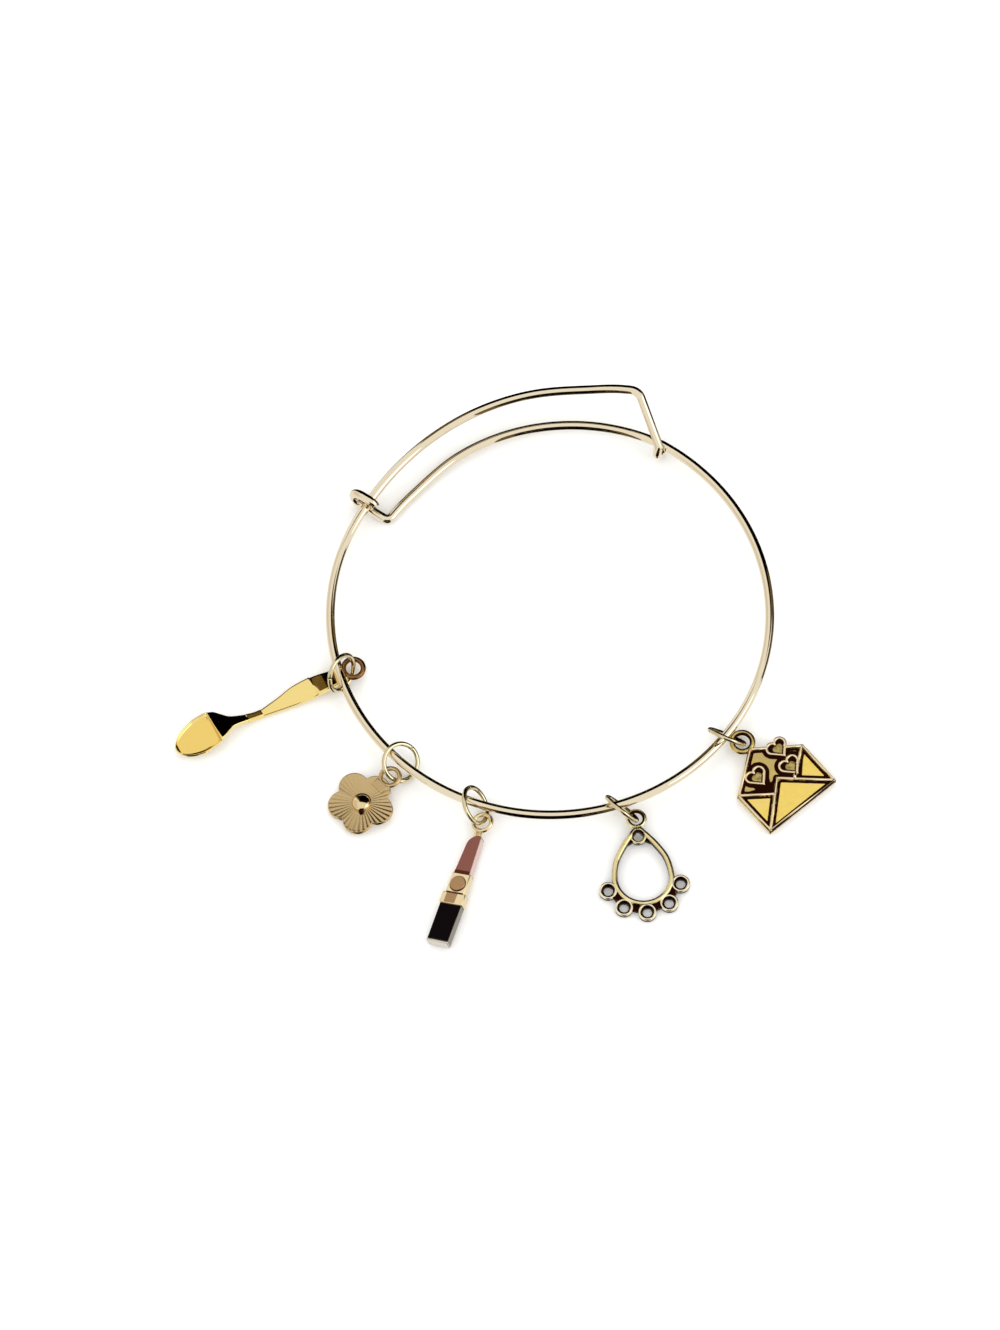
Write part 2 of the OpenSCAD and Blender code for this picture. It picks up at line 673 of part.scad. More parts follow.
// The envelope is drawn with the tip of its open flap on its eye
letter_eye_r = eye_r(letter_eye_gap, letter_eye_wall);
flap_tip = letter_eye_r - eye_sink;
letter_top = flap_tip + flap_h;
letter_foot = letter_top + letter_h;
letter_half = letter_w / 2;
fold_tip = letter_top + 0.21 * letter_h;     // where the front flaps meet
fold_side = letter_top + 0.44 * letter_h;    // where the side flaps end
fold_side_y = letter_half * (fold_side - fold_tip) / (letter_foot - fold_tip);

// Middles of the hearts: down from the flap's tip as a share of the whole
// height, and across as a share of half the width
HEARTS = [
    // down   across
    [0.255,   0.50],
    [0.375,  -0.33],
    [0.525,   0.44]];

module at_hearts() {
    for (h = HEARTS)
        translate([mix(flap_tip, letter_foot, h[0]), h[1] * letter_half])
            children();
}

module heart(w) {
    s = w / (1 + sqrt(0.5));
    rotate(45)
        square(s, center = true);
    for (side = [-1, 1])
        translate([-s * sqrt(0.125), side * s * sqrt(0.125)])
            circle(d = s);
}

module raised_line(p, q) {
    run = q - p;
    translate(p)
        rotate(atan2(run[1], run[0]))
            translate([0, -line_w / 2])
                square([norm(run), line_w]);
    for (end = [p, q])
        translate(end)
            circle(d = line_w, $fn = 24);
}

module envelope_charm() {
    inset = line_w / 2;
    outline = [[flap_tip, 0],
        [letter_top, letter_half], [letter_foot, letter_half],
        [letter_foot, -letter_half], [letter_top, -letter_half]];
    rim = [[flap_tip + 1.6 * inset, 0],
        [letter_top + 0.3 * inset, letter_half - inset], [letter_foot - inset, letter_half - inset],
        [letter_foot - inset, inset - letter_half], [letter_top + 0.3 * inset, inset - letter_half]];
    feet = [for (side = [-1, 1]) [letter_foot, side * letter_half, letter_t / 2]];
    color("#d9b860")
        lie(LETTER_LINK, LETTER_WAY, lie_slope(LETTER_LINK, 0, feet)) {
            translate([0, 0, -letter_t / 2])
                linear_extrude(letter_t) {
                    polygon(outline);
                    at_hearts()
                        heart(heart_w);
                }
            linear_extrude(letter_t / 2 + line_h) {
                for (i = [0 : len(rim) - 1])
                    raised_line(rim[i], rim[(i + 1) % len(rim)]);
                for (side = [-1, 1]) {
                    raised_line([fold_tip, 0], [letter_foot - inset, side * (letter_half - inset)]);
                    raised_line([letter_top, side * (letter_half - inset)], [fold_side, side * fold_side_y]);
                }
                at_hearts()
                    difference() {
                        heart(heart_w);
                        heart(heart_w - 2 * heart_line_w);
                    }
            }
            eye(letter_eye_gap, letter_eye_wall);
        }
}

bangle_wire();
spoon_charm();
jump_ring(SPOON_LINK);  // spoon_jump_ring
flower_charm();
jump_ring(FLOWER_LINK);  // flower_jump_ring
lipstick_charm();
lipstick_pink_enamel();
lipstick_black_enamel();
jump_ring(LIPSTICK_LINK);  // lipstick_jump_ring
teardrop_charm();
jump_ring(TEARDROP_LINK);  // teardrop_jump_ring
envelope_charm();
jump_ring(LETTER_LINK);  // envelope_jump_ring
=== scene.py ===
"""Looks of the charm bangle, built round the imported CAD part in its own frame.

Lengths are in millimetres and become metres when a piece is made. The studio's are in metres.
"""

import math

import bmesh
import bpy
from mathutils import Matrix, Vector


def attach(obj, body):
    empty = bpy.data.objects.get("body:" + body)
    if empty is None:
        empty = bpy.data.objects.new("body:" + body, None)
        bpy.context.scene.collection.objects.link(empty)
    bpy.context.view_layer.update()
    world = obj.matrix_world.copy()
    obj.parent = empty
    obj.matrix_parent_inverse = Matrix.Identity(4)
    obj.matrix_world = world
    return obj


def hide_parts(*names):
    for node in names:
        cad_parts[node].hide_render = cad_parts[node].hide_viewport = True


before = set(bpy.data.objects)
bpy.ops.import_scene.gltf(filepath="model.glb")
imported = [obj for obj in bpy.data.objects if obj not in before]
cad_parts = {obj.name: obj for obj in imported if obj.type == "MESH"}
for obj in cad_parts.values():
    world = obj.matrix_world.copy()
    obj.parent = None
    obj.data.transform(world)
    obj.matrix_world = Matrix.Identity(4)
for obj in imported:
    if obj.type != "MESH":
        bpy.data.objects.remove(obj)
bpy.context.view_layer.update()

# Bangle wire. One length of hard brass wire, drawn through a die, rolled into
# a ring and bent by hand so that each end curls round the other run as a
# sliding hook. It is plated pale gold, so it shines in long clean lines.
MM = 0.001
RING_R = 32.5
WIRE_R = 0.662
WIRE_Z = 2.225
HOOK_PITCH = 1.55
LEFT_HOOK_AT = 146
RIGHT_HOOK_AT = 59
LEFT_LOOP_LENGTH = 1.0
RAISED_AT = 68.87
PART_AT = 148
RAISED_OUT = 4.1
RAISED_UP = 5.3
LOWERED_IN = 3.7
CORNER_LENGTH = 1.1
CORNER_STEPS = 14
# angles round a hook's curl, from outside the ring and upwards
LEG_TOUCH = 128.9
RIGHT_TIP_AT = -75
LEFT_TIP_AT = 150
UNDER = -90
OVER = 90
CURL_STEPS = 30
TIP_STEPS = 12
RAISED_STEPS = 60
LOWERED_STEPS = 66
RING_STEPS = 220
# how deep a casting's skin is uneven
SKIN_DEPTH = 0.05
# shares of the full spread at even steps along each run: raised, lowered
RUN_SHARES = [
    (0.00, 0.00),
    (0.08, 0.14),
    (0.22, 0.32),
    (0.39, 0.52),
    (0.56, 0.74),
    (0.72, 0.98),
    (1.00, 1.00),
]
RUN_ROWS = len(RUN_SHARES) - 1
# the cut ends are filed round: distance from the tip, share of the radius
TIP_ROUND = [(0.0, 0.55), (0.06, 0.8), (0.15, 0.94), (0.28, 1.0)]


def polar(r, degrees, z=0.0):
    """A point at radius r and that angle, z above the table."""
    a = math.radians(degrees)
    return Vector((r * math.cos(a), r * math.sin(a), z))


def smooth_row(rows, t):
    """The smooth value of each column of a table at row number t."""
    last = len(rows) - 1
    i = min(int(t), last - 1)
    f = t - i
    near = [rows[max(0, min(k, last))] for k in (i - 1, i, i + 1, i + 2)]
    values = []
    for a, b, c, d in zip(*near):
        square = 2 * a - 5 * b + 4 * c - d
        cube = 3 * b - a - 3 * c + d
        values.append(0.5 * (2 * b + (c - a) * f + square * f**2 + cube * f**3))
    return values


def steps(start, end, count):
    """count + 1 even values from start to end."""
    return [start + (end - start) * i / count for i in range(count + 1)]


def raised_point(at):
    """A point of the raised run at that angle of the ring."""
    row = (PART_AT - at) / (PART_AT - RAISED_AT) * RUN_ROWS
    share = min(1, smooth_row(RUN_SHARES, row)[0])
    return polar(RING_R + RAISED_OUT * share, at, WIRE_Z + RAISED_UP * share)


def lowered_point(at):
    """A point of the lowered run at that angle of the ring."""
    row = (at - RIGHT_HOOK_AT) / (LEFT_HOOK_AT - RIGHT_HOOK_AT) * RUN_ROWS
    share = min(1, smooth_row(RUN_SHARES, row)[1])
    return polar(RING_R - LOWERED_IN * share, at, WIRE_Z - HOOK_PITCH * share)


def hook_point(at, turn, drawn_out=0.0):
    """A point of a hook's curl round the wire at that angle of the ring."""
    side = polar(HOOK_PITCH, turn)
    return polar(RING_R + drawn_out + side.x, at, WIRE_Z + side.y)


def corner(before, tip, after, length=CORNER_LENGTH, count=CORNER_STEPS):
    """The rounded bend at tip, between its two neighbours."""
    a = tip + (before - tip).normalized() * length
    b = tip + (after - tip).normalized() * length
    return [a.lerp(tip, f).lerp(tip.lerp(b, f), f) for f in steps(0, 1, count)]


def new_object(name, mesh, *materials):
    """Links a mesh as a smooth object at the origin."""
    made = bpy.data.objects.new(name, mesh)
    bpy.context.scene.collection.objects.link(made)
    for material in materials:
        mesh.materials.append(material)
    mesh.shade_smooth()
    return made


def srgb(code):
    """A linear colour with alpha from an sRGB hex code."""
    shares = [int(code[i : i + 2], 16) / 255 for i in (1, 3, 5)]
    return [c / 12.92 if c <= 0.04045 else ((c + 0.055) / 1.055) ** 2.4 for c in shares] + [1.0]


def add_node(tree, kind, inputs, **settings):
    """Adds a node with its settings, its values and its links."""
    node = tree.nodes.new(kind)
    for key, value in settings.items():
        setattr(node, key, value)
    for key, value in inputs.items():
        if isinstance(value, bpy.types.NodeSocket):
            tree.links.new(value, node.inputs[key])
        else:
            node.inputs[key].default_value = value
    return node


def new_material(name):
    """An empty node material and its node tree."""
    material = bpy.data.materials.new(name)
    material.use_nodes = True
    material.node_tree.nodes.clear()
    return material, material.node_tree


def set_surface(tree, look, kind="ShaderNodeBsdfPrincipled"):
    """Adds the shader with its look and joins it to the material's output."""
    shader = add_node(tree, kind, look)
    add_node(tree, "ShaderNodeOutputMaterial", {"Surface": shader.outputs[0]})


def uneven_skin(tree, strength, patch_mm):
    """The normal of a faintly uneven skin, in patches of that size."""
    place = add_node(tree, "ShaderNodeTexCoord", {}).outputs["Object"]
    waves = {"Vector": place, "Scale": 1 / (patch_mm * MM), "Detail": 2.0}
    noise = add_node(tree, "ShaderNodeTexNoise", waves).outputs["Fac"]
    lift = {"Height": noise, "Strength": strength, "Distance": SKIN_DEPTH * MM}
    return add_node(tree, "ShaderNodeBump", lift).outputs["Normal"]


def plated_metal(name, colour, roughness, grain=0.0, grain_mm=1.0):
    """Plated metal: one colour, one gloss, and a faint unevenness of the casting."""
    material, tree = new_material(name)
    look = {"Base Color": srgb(colour), "Metallic": 1.0, "Roughness": roughness}
    if grain:
        look["Normal"] = uneven_skin(tree, grain, grain_mm)
    set_surface(tree, look)
    return material


right_curl = [hook_point(RIGHT_HOOK_AT, a) for a in steps(RIGHT_TIP_AT, LEG_TOUCH - 360, CURL_STEPS)]
raised_run = [raised_point(a) for a in steps(RAISED_AT, PART_AT, RAISED_STEPS)]
main_run = [polar(RING_R, a, WIRE_Z) for a in steps(PART_AT, 360 + RIGHT_HOOK_AT, RING_STEPS)]
lowered_run = [lowered_point(a) for a in steps(RIGHT_HOOK_AT, LEFT_HOOK_AT, LOWERED_STEPS)]
left_turn = [hook_point(LEFT_HOOK_AT, a, LEFT_LOOP_LENGTH) for a in steps(UNDER, OVER, CURL_STEPS)]
left_over = [hook_point(LEFT_HOOK_AT, a) for a in steps(OVER, LEFT_TIP_AT, TIP_STEPS)]
wire_path = (
    right_curl
    + corner(right_curl[-1], raised_run[0], raised_run[1])
    + [p for p in raised_run if (p - raised_run[0]).length > CORNER_LENGTH]
    + main_run[1:]
    + [p for p in lowered_run[1:] if (p - lowered_run[-1]).length > CORNER_LENGTH]
    + corner(lowered_run[-2], lowered_run[-1], left_turn[0])
    + [p for p in left_turn if (p - lowered_run[-1]).length > CORNER_LENGTH]
    + left_over[1:]
)
head = wire_path[1] - wire_path[0]
tail = wire_path[-2] - wire_path[-1]
wire_rows = [(wire_path[0] + head.normalized() * d, share) for d, share in TIP_ROUND]
wire_rows += [(p, 1.0) for p in wire_path[2:-2]]
wire_rows += [(wire_path[-1] + tail.normalized() * d, share) for d, share in reversed(TIP_ROUND)]

wire_curve = bpy.data.curves.new("bangle_wire_path", "CURVE")
wire_curve.dimensions = "3D"
wire_curve.bevel_depth = WIRE_R * MM
wire_curve.bevel_resolution = 12
wire_curve.use_fill_caps = True
spline = wire_curve.splines.new("POLY")
spline.points.add(len(wire_rows) - 1)
for point, (place, share) in zip(spline.points, wire_rows):
    point.co = (*(place * MM), 1)
    point.radius = share
wire_former = bpy.data.objects.new("wire_former", wire_curve)
wire_mesh = bpy.data.meshes.new_from_object(wire_former)
bpy.data.objects.remove(wire_former)

# Pale gold plate on drawn brass wire: smooth, so it gives clean bright lines.
pale_gold_plate = plated_metal("pale_gold_plate_on_drawn_wire", "#E8DBC0", 0.05)
bangle = new_object("bangle_wire_drawn", wire_mesh, pale_gold_plate)
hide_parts("bangle_wire")
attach(bangle, "root")

# Jump rings. Five open rings of thin brass wire, wound on a rod and cut, plated
# pale gold, and each closed round the bangle and through the eye of its charm.
JUMP_R = 2.75
JUMP_WIRE_R = 0.35
JUMP_CUT = 0.12
JUMP_STEPS = 96
WELD = 0.0005
# least area over edge length of a broad face, and its frame
BROAD = 0.1
FRAME_W = 0.03
# angle round the bangle, distance out, lean, slope, and place of the charm's eye
LINKS = {
    "spoon": (-162.4, -0.2, -33.0, 68.0, 52.5),
    "flower": (-132.7, 0.0, -42.5, 37.0, -80.0),
    "lipstick": (-109.5, 0.5, 2.1, 52.6, -55.7),
    "teardrop": (-71.6, 1.0, 47.5, 65.0, -52.0),
    "envelope": (-37.6, 0.4, 64.5, 62.0, -50.5),
}


def turned(axis, degrees):
    """A turn about one axis through the origin."""
    return Matrix.Rotation(math.radians(degrees), 4, axis)


def link_matrix(name):
    """From a ring lying flat at the origin to its place on the bangle."""
    at, out, lean, slope, _ = LINKS[name]
    height = JUMP_R * math.sin(math.radians(slope)) + JUMP_WIRE_R
    return Matrix.Translation(polar(RING_R + out, at, height)) @ turned("Z", lean) @ turned("Y", slope)


def eye_point(name):
    """Where a charm's eye hangs on its ring."""
    *_, eye_at = LINKS[name]
    return link_matrix(name) @ polar(JUMP_R, eye_at)


def round_loop(r, count, z=0.0):
    """Even points round a circle at height z."""
    return [polar(r, 360 * k / count, z) for k in range(count)]


def add_loop(bm, points):
    """A closed ring of vertices and edges through points."""
    verts = [bm.verts.new(p) for p in points]
    return verts, [bm.edges.new((a, b)) for a, b in zip(verts, verts[1:] + verts[:1])]


def add_turned(bm, profile, place, turn=360.0, start=0.0, along=72):
    """Spins a closed profile of radius and height, all the way round or less."""
    first = place @ turned("Z", start)
    verts, edges = add_loop(bm, [first @ Vector((r, 0, z)) for r, z in profile])
    last = bmesh.ops.spin(
        bm,
        geom=verts + edges,
        axis=place.to_3x3() @ Vector((0, 0, 1)),
        cent=place.translation,
        angle=math.radians(turn),
        steps=along,
        use_merge=turn == 360.0,
    )["geom_last"]
    if turn < 360.0:
        ends = edges + [g for g in last if isinstance(g, bmesh.types.BMEdge)]
        bmesh.ops.holes_fill(bm, edges=ends, sides=0)


def round_profile(ring_r, wire_r, around=24):
    """The round section of a wire at ring_r from the axis."""
    return [(ring_r + p.x, p.y) for p in round_loop(wire_r, around)]


def finish_mesh(bm, name):
    """Turns the normals outward, keeps broad faces flat and makes the mesh in metres."""
    bmesh.ops.remove_doubles(bm, verts=bm.verts, dist=WELD)
    bmesh.ops.recalc_face_normals(bm, faces=bm.faces)
    # a narrow frame inside each broad face, so that smooth shading leaves it flat
    broad = [f for f in bm.faces if f.calc_area() > BROAD * f.calc_perimeter()]
    bmesh.ops.inset_individual(bm, faces=broad, thickness=FRAME_W, use_even_offset=True)
    bmesh.ops.scale(bm, vec=(MM, MM, MM), verts=bm.verts)
    mesh = bpy.data.meshes.new(name)
    bm.to_mesh(mesh)
    bm.free()
    return mesh


# Pale gold plate on thin wire: a little duller than the bangle, from handling.
ring_gold_plate = plated_metal("pale_gold_plate_on_ring_wire", "#D8CBA6", 0.07)
CUT_DEGREES = math.degrees(JUMP_CUT / JUMP_R)
for charm, (*_, eye_at) in LINKS.items():
    bm = bmesh.new()
    coil = round_profile(JUMP_R, JUMP_WIRE_R)
    start = eye_at + 180 + CUT_DEGREES / 2
    add_turned(bm, coil, link_matrix(charm), 360 - CUT_DEGREES, start, JUMP_STEPS)
    jump_ring = new_object(f"{charm}_ring_wound", finish_mesh(bm, f"{charm}_ring"), ring_gold_plate)
    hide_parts(f"{charm}_jump_ring")
    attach(jump_ring, "root")

# Spoon charm. Cast zinc alloy with a flat handle, a thin neck and a dished
# bowl, tumbled smooth and plated bright yellow gold like a mirror.
SPOON_EYE_R = 1.475
SPOON_EYE_WIRE = 0.4
SPOON_WAY = 206.3
SPOON_LIFT = 1.3476
SPOON_EDGE = 0.22
EDGE_SHARE = 0.45
EDGE_STEPS = 5
FLAT_STEPS = 24
SPOON_STEPS = 180
BOWL_DEPTH = 0.4
BOWL_FROM = 22.6
BOWL_TO = 29.15
BOWL_WALL = 0.3
BOWL_RIM = 0.15
BOWL_LEVEL = 0.9
# its further materials, by number
EYE_DARK_REFLECTION, BOWL_FLOOR_SHEEN = 1, 2
# along, half width, to the side, height, thickness, tilt across
SPOON_ROWS = [
    (1.475, 1.152, 0.00, 1.222, 0.60, 5.0),
    (3.248, 1.312, 0.08, 1.060, 0.80, 5.5),
    (4.872, 1.472, 0.02, 0.950, 1.00, 5.8),
    (6.400, 1.580, -0.03, 0.845, 1.00, 5.8),
    (6.800, 1.595, -0.04, 0.815, 1.00, -1.0),
    (9.541, 1.440, 0.00, 0.684, 1.00, -2.0),
    (11.977, 1.024, 0.20, 0.580, 1.00, -1.0),
    (14.900, 0.560, 0.35, 0.545, 1.00, -1.0),
    (15.300, 0.550, 0.34, 0.585, 1.00, 0.0),
    (16.443, 0.544, 0.32, 0.700, 1.00, -0.5),
    (17.500, 0.600, 0.20, 0.815, 1.00, -0.5),
    (17.800, 0.620, 0.16, 0.870, 1.00, 10.0),
    (19.793, 0.935, -0.08, 1.310, 0.90, 10.0),
    (20.750, 1.540, -0.30, 1.490, 0.72, 10.0),
    (21.695, 2.255, -0.48, 1.640, 0.60, 9.0),
    (22.500, 2.580, -0.40, 1.740, 0.60, 7.0),
    (22.900, 2.660, -0.33, 1.740, 0.60, 1.0),
    (23.702, 2.750, -0.22, 1.660, 0.60, -1.0),
    (25.601, 2.695, 0.05, 1.500, 0.60, -2.0),
    (27.500, 2.090, 0.25, 1.400, 0.60, -2.0),
    (28.670, 1.265, 0.36, 1.360, 0.60, -1.0),
    (29.300, 0.330, 0.42, 1.400, 0.48, 0.0),
]


def add_skin(bm, loops):
    """Extrudes a loop of edges from each outline to the next and caps both ends."""
    verts, edges = add_loop(bm, loops[0])
    bmesh.ops.contextual_create(bm, geom=edges)
    for points in loops[1:]:
        made = set(bmesh.ops.extrude_edge_only(bm, edges=edges)["geom"])
        verts = [next(e.other_vert(v) for e in v.link_edges if e.other_vert(v) in made) for v in verts]
        edges = [g for g in made if isinstance(g, bmesh.types.BMEdge) and set(g.verts) <= set(verts)]
        for v, p in zip(verts, points):
            v.co = p
    bmesh.ops.contextual_create(bm, geom=edges)


def mark_new(bm, before, slot):
    """Gives every face that wasn't there before another of the piece's materials."""
    for face in set(bm.faces) - before:
        face.material_index = slot


def fade(value, low, high):
    """0 below low, 1 above high and smooth between them."""
    f = max(0.0, min(1.0, (value - low) / (high - low)))
    return f * f * (3 - 2 * f)


def spoon_section(t):
    """One section of the spoon: a slab with eased edges, sunk to a flat floor in the bowl."""
    along, half, side, height, thick, tilt = smooth_row(SPOON_ROWS, t)
    deep = BOWL_DEPTH * fade(along, BOWL_FROM, BOWL_FROM + BOWL_WALL)
    deep *= 1 - fade(along, BOWL_TO - BOWL_WALL, BOWL_TO)
    tips = [Vector((0, y * half, z * thick / 2)) for y, z in ((-1, 1), (1, 1), (1, -1), (-1, -1))]
    slab = []
    for k, tip in enumerate(tips):
        after = tips[(k + 1) % len(tips)]
        bend = corner(tips[k - 1], tip, after, min(SPOON_EDGE, EDGE_SHARE * thick), EDGE_STEPS)
        across = (after - tip).normalized() * (bend[-1] - tip).length
        slab += bend + [bend[-1].lerp(after - across, f) for f in steps(0, 1, FLAT_STEPS)[1:-1]]
    slant = math.tan(math.radians(tilt))
    points = []
    for p in slab:
        sunk = deep * (1 - fade(abs(p.y), half - BOWL_WALL, half - BOWL_RIM))
        points.append(Vector((along, side + p.y, height + p.z + p.y * slant - sunk)))
    return points


bm = bmesh.new()
add_skin(bm, [spoon_section(t) for t in steps(0, len(SPOON_ROWS) - 1, SPOON_STEPS)])
bmesh.ops.recalc_face_normals(bm, faces=bm.faces)
# the upward faces of the bowl's floor get a painted sheen of deeper yellow
for face in bm.faces:
    if face.calc_center_median().x > BOWL_FROM + BOWL_WALL and face.normal.z > BOWL_LEVEL:
        face.material_index = BOWL_FLOOR_SHEEN
# the eye, painted brown as a dark reflection
before = set(bm.faces)
add_turned(bm, round_profile(SPOON_EYE_R, SPOON_EYE_WIRE), Matrix.Translation((0, 0, SPOON_LIFT)))
mark_new(bm, before, EYE_DARK_REFLECTION)
eye = eye_point("spoon")
spoon_place = Matrix.Translation((eye.x, eye.y, 0)) @ turned("Z", SPOON_WAY)
bmesh.ops.transform(bm, matrix=spoon_place, verts=bm.verts)
# Bright yellow gold plate over tumbled zinc alloy: mirror gloss, faintly wavy.
mirror_gold_plate = plated_metal("yellow_gold_mirror_plate", "#F3DA8C", 0.05, 0.1, 4.0)
# The eye is painted brown: a painted dark reflection.
eye_dark_reflection_paint = plated_metal("painted_dark_reflection_on_eye", "#8A6238", 0.12, 0.1, 1.0)
# The bowl's upward faces are painted a deeper yellow: a painted sheen.
bowl_floor_sheen_paint = plated_metal("painted_sheen_on_bowl_floor", "#F0CF74", 0.1, 0.2, 3.0)
spoon = new_object(
    "spoon_charm_cast", finish_mesh(bm, "spoon_charm"), mirror_gold_plate, eye_dark_reflection_paint, bowl_floor_sheen_paint
)
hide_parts("spoon_charm")
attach(spoon, "root")

# Flower charm. A stamped and cast five-petal disc with a domed face, diamond
# cut with fine rays and finished satin, round a polished boss.
FLOWER_EYE_R = 1.4
FLOWER_EYE_WIRE = 0.35
FLOWER_AT = 5.725
FLOWER_WAY = 222.6
FLOWER_SLOPE = 5.0131
FLOWER_ROLL = 5
PETAL_R = 2.25
PETAL_AT = 2.75
PETALS = 5
FLOWER_T = 1.2
RAYS = 40
RAY_STEPS = 6
RAY_SLOPE = 13
RAY_WORN = 0.2
RAY_DEEPEST_AT = 75
RAY_FADING = 1.5
CUP_LOW = 0.7
CUP_DEEP = 0.14
FACE_FROM = 0.2
FACE_SPAN = 0.76
FACE_STEPS = 18
RAYS_FULL_AT = 0.25
BACK_EASE = 0.15
BACK_SHARE = 0.985
BOSS_R = 1.46
BOSS_RISE = 0.9
BOSS_LEAN = (0.37, 0.4)
BOSS_ROWS = (-10, 0, 8, 16, 24, 32, 40, 48, 56, 64, 72, 78, 83, 87)
BOSS_STEPS = 48
FLOWER_WEB = (0.675, 1.1, 0.35)
WEB_EASE = 0.1
# the painted dark reflection at the boss's foot: distance, direction, half length, half width and height
SPOT = (1.42, 47.4, 0.66, 0.44, 0.66)
SPOT_ROWS = (-20, 0, 20, 40, 60, 80)
SPOT_STEPS = 24
# its further materials, by number
BURNISHED, BOSS_DARK_REFLECTION = 1, 2


def charm_matrix(name, way, slope, roll=0.0):
    """From a flat charm drawn from its eye along +X to where it lies."""
    return Matrix.Translation(eye_point(name)) @ turned("Z", way) @ turned("Y", slope) @ turned("X", roll)


def petal_reach(a):
    """Distance from the flower's middle to its edge at angle a."""
    step = 360 / PETALS
    off = math.radians((a + step / 2) % step - step / 2)
    return PETAL_AT * math.cos(off) + math.sqrt(PETAL_R**2 - (PETAL_AT * math.sin(off)) ** 2)


def petal_loop(share, drop, rays=0.0):
    """A loop round the flower at a share of its reach, drop below the top."""
    points = []
    count = RAYS * RAY_STEPS
    for k in range(count):
        a = 360 * k / count
        r = petal_reach(a - 180) * share
        kept = (0.5 + 0.5 * math.cos(math.radians(a - RAY_DEEPEST_AT))) ** RAY_FADING
        depth = math.tan(math.radians(RAY_SLOPE)) * math.pi * r / RAYS
        depth *= RAY_WORN + (1 - RAY_WORN) * kept
        cut = abs((k % RAY_STEPS) / RAY_STEPS * 2 - 1)
        points.append(polar(r, a, FLOWER_T / 2 - drop - rays * depth * cut))
    return points


def add_block(bm, low, high, bevel=0.0):
    """A block between two corners, with its edges eased."""
    low, high = Vector(low), Vector(high)
    place = Matrix.Translation((low + high) / 2) @ Matrix.Diagonal((*(high - low), 1))
    verts = bmesh.ops.create_cube(bm, size=1, matrix=place)["verts"]
    if bevel:
        edges = list({e for v in verts for e in v.link_edges})
        bmesh.ops.bevel(bm, geom=edges, offset=bevel, affect="EDGES", segments=3, profile=0.5, material=-1)


bm = bmesh.new()
# share of the reach, share of the cup's depth, share of the rays' depth
FACE_ROWS = []
for f in steps(0, 1, FACE_STEPS):
    share = FACE_FROM + FACE_SPAN * f
    FACE_ROWS.append((share, share**2, min(1, f / RAYS_FULL_AT)))
FACE_ROWS += [(0.975, 0.97, 0.8), (0.99, 0.85, 0.4), (1.0, 0.55, 0.0)]
face = [petal_loop(share, FLOWER_T - CUP_LOW - rise * CUP_DEEP, rays) for share, rise, rays in FACE_ROWS]
back = [petal_loop(1.0, FLOWER_T - BACK_EASE), petal_loop(BACK_SHARE, FLOWER_T)]
add_skin(bm, [[p + Vector((FLOWER_AT, 0, 0)) for p in loop] for loop in face + back])
boss_middle = Vector((FLOWER_AT, 0, CUP_LOW - FLOWER_T / 2))
boss = []
for a in BOSS_ROWS:
    section = polar(1, a)
    middle = boss_middle + Vector((*BOSS_LEAN, 0)) * max(0, section.y)
    boss.append([p + middle for p in round_loop(BOSS_R * section.x, BOSS_STEPS, BOSS_RISE * section.y)])
before = set(bm.faces)
add_skin(bm, boss)
mark_new(bm, before, BURNISHED)
# a small dark lens at the boss's foot: a painted dark reflection
out, way, long, wide, high = SPOT
spot_place = Matrix.Translation(boss_middle) @ turned("Z", way) @ Matrix.Translation((out, 0, 0))
spot = []
for a in SPOT_ROWS:
    section = polar(1, a)
    ring = round_loop(section.x, SPOT_STEPS)
    spot.append([spot_place @ Vector((long * p.x, wide * p.y, high * section.y)) for p in ring])
before = set(bm.faces)
add_skin(bm, spot)
mark_new(bm, before, BOSS_DARK_REFLECTION)
add_turned(bm, round_profile(FLOWER_EYE_R, FLOWER_EYE_WIRE), Matrix())
half_long, half_wide, half_high = FLOWER_WEB
web_foot = (FLOWER_EYE_R, -half_wide, -half_high)
add_block(bm, web_foot, (FLOWER_EYE_R + 2 * half_long, half_wide, half_high), WEB_EASE)
flower_place = charm_matrix("flower", FLOWER_WAY, FLOWER_SLOPE, FLOWER_ROLL)
bmesh.ops.transform(bm, matrix=flower_place, verts=bm.verts)
# Satin tan gold plate: blasted before plating, so it takes no clear reflection.
satin_gold_plate = plated_metal("tan_gold_satin_plate", "#CBB080", 0.26, 0.1, 0.25)
# The boss alone is burnished after plating.
burnished_gold = plated_metal("tan_gold_burnished_boss", "#E4CFA0", 0.07)
# A painted dark reflection at the boss's foot.
boss_dark_reflection_paint = plated_metal("painted_dark_reflection_at_boss", "#2E1409", 0.3)
flower = new_object(
    "flower_charm_cut", finish_mesh(bm, "flower_charm"), satin_gold_plate, burnished_gold, boss_dark_reflection_paint
)
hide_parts("flower_charm")
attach(flower, "root")

# Lipstick charm. Cast zinc alloy, plated pale gold, with shallow recesses in the
# lip colour and in the case for enamel. Rose enamel ran down the lip colour's
# walls and the case's walls are bare. Brown shade is painted into the corners.
STICK_T = 1.5
STICK_EYE_R = 1.355
STICK_EYE_WIRE = 0.33
STICK_WAY = 251.6
STICK_SLOPE = 0.2537
STICK_ROLL = 16
PRONG_AT = 0.36
PRONG_W = 0.48
PRONG_T = 0.52
PRONG_BURIED = 1.4
BRIDGE_EASE = 0.02
BULLET_FROM = 2.455
BULLET_W = 2.5
BULLET_TIP_W = 1.9
BULLET_SLANT = 0.9
BULLET_PEAK = 0.2
BULLET_FOOT_EDGES = 4
BULLET_BENDS = (0.8, 0.3, 0.32, 0.08, 0.08)
BEND_STEPS = 6
BAND_FROM = 9.055
BAND_W = 2.9
DISC_R = 1.2
DISC_RISE = 0.2
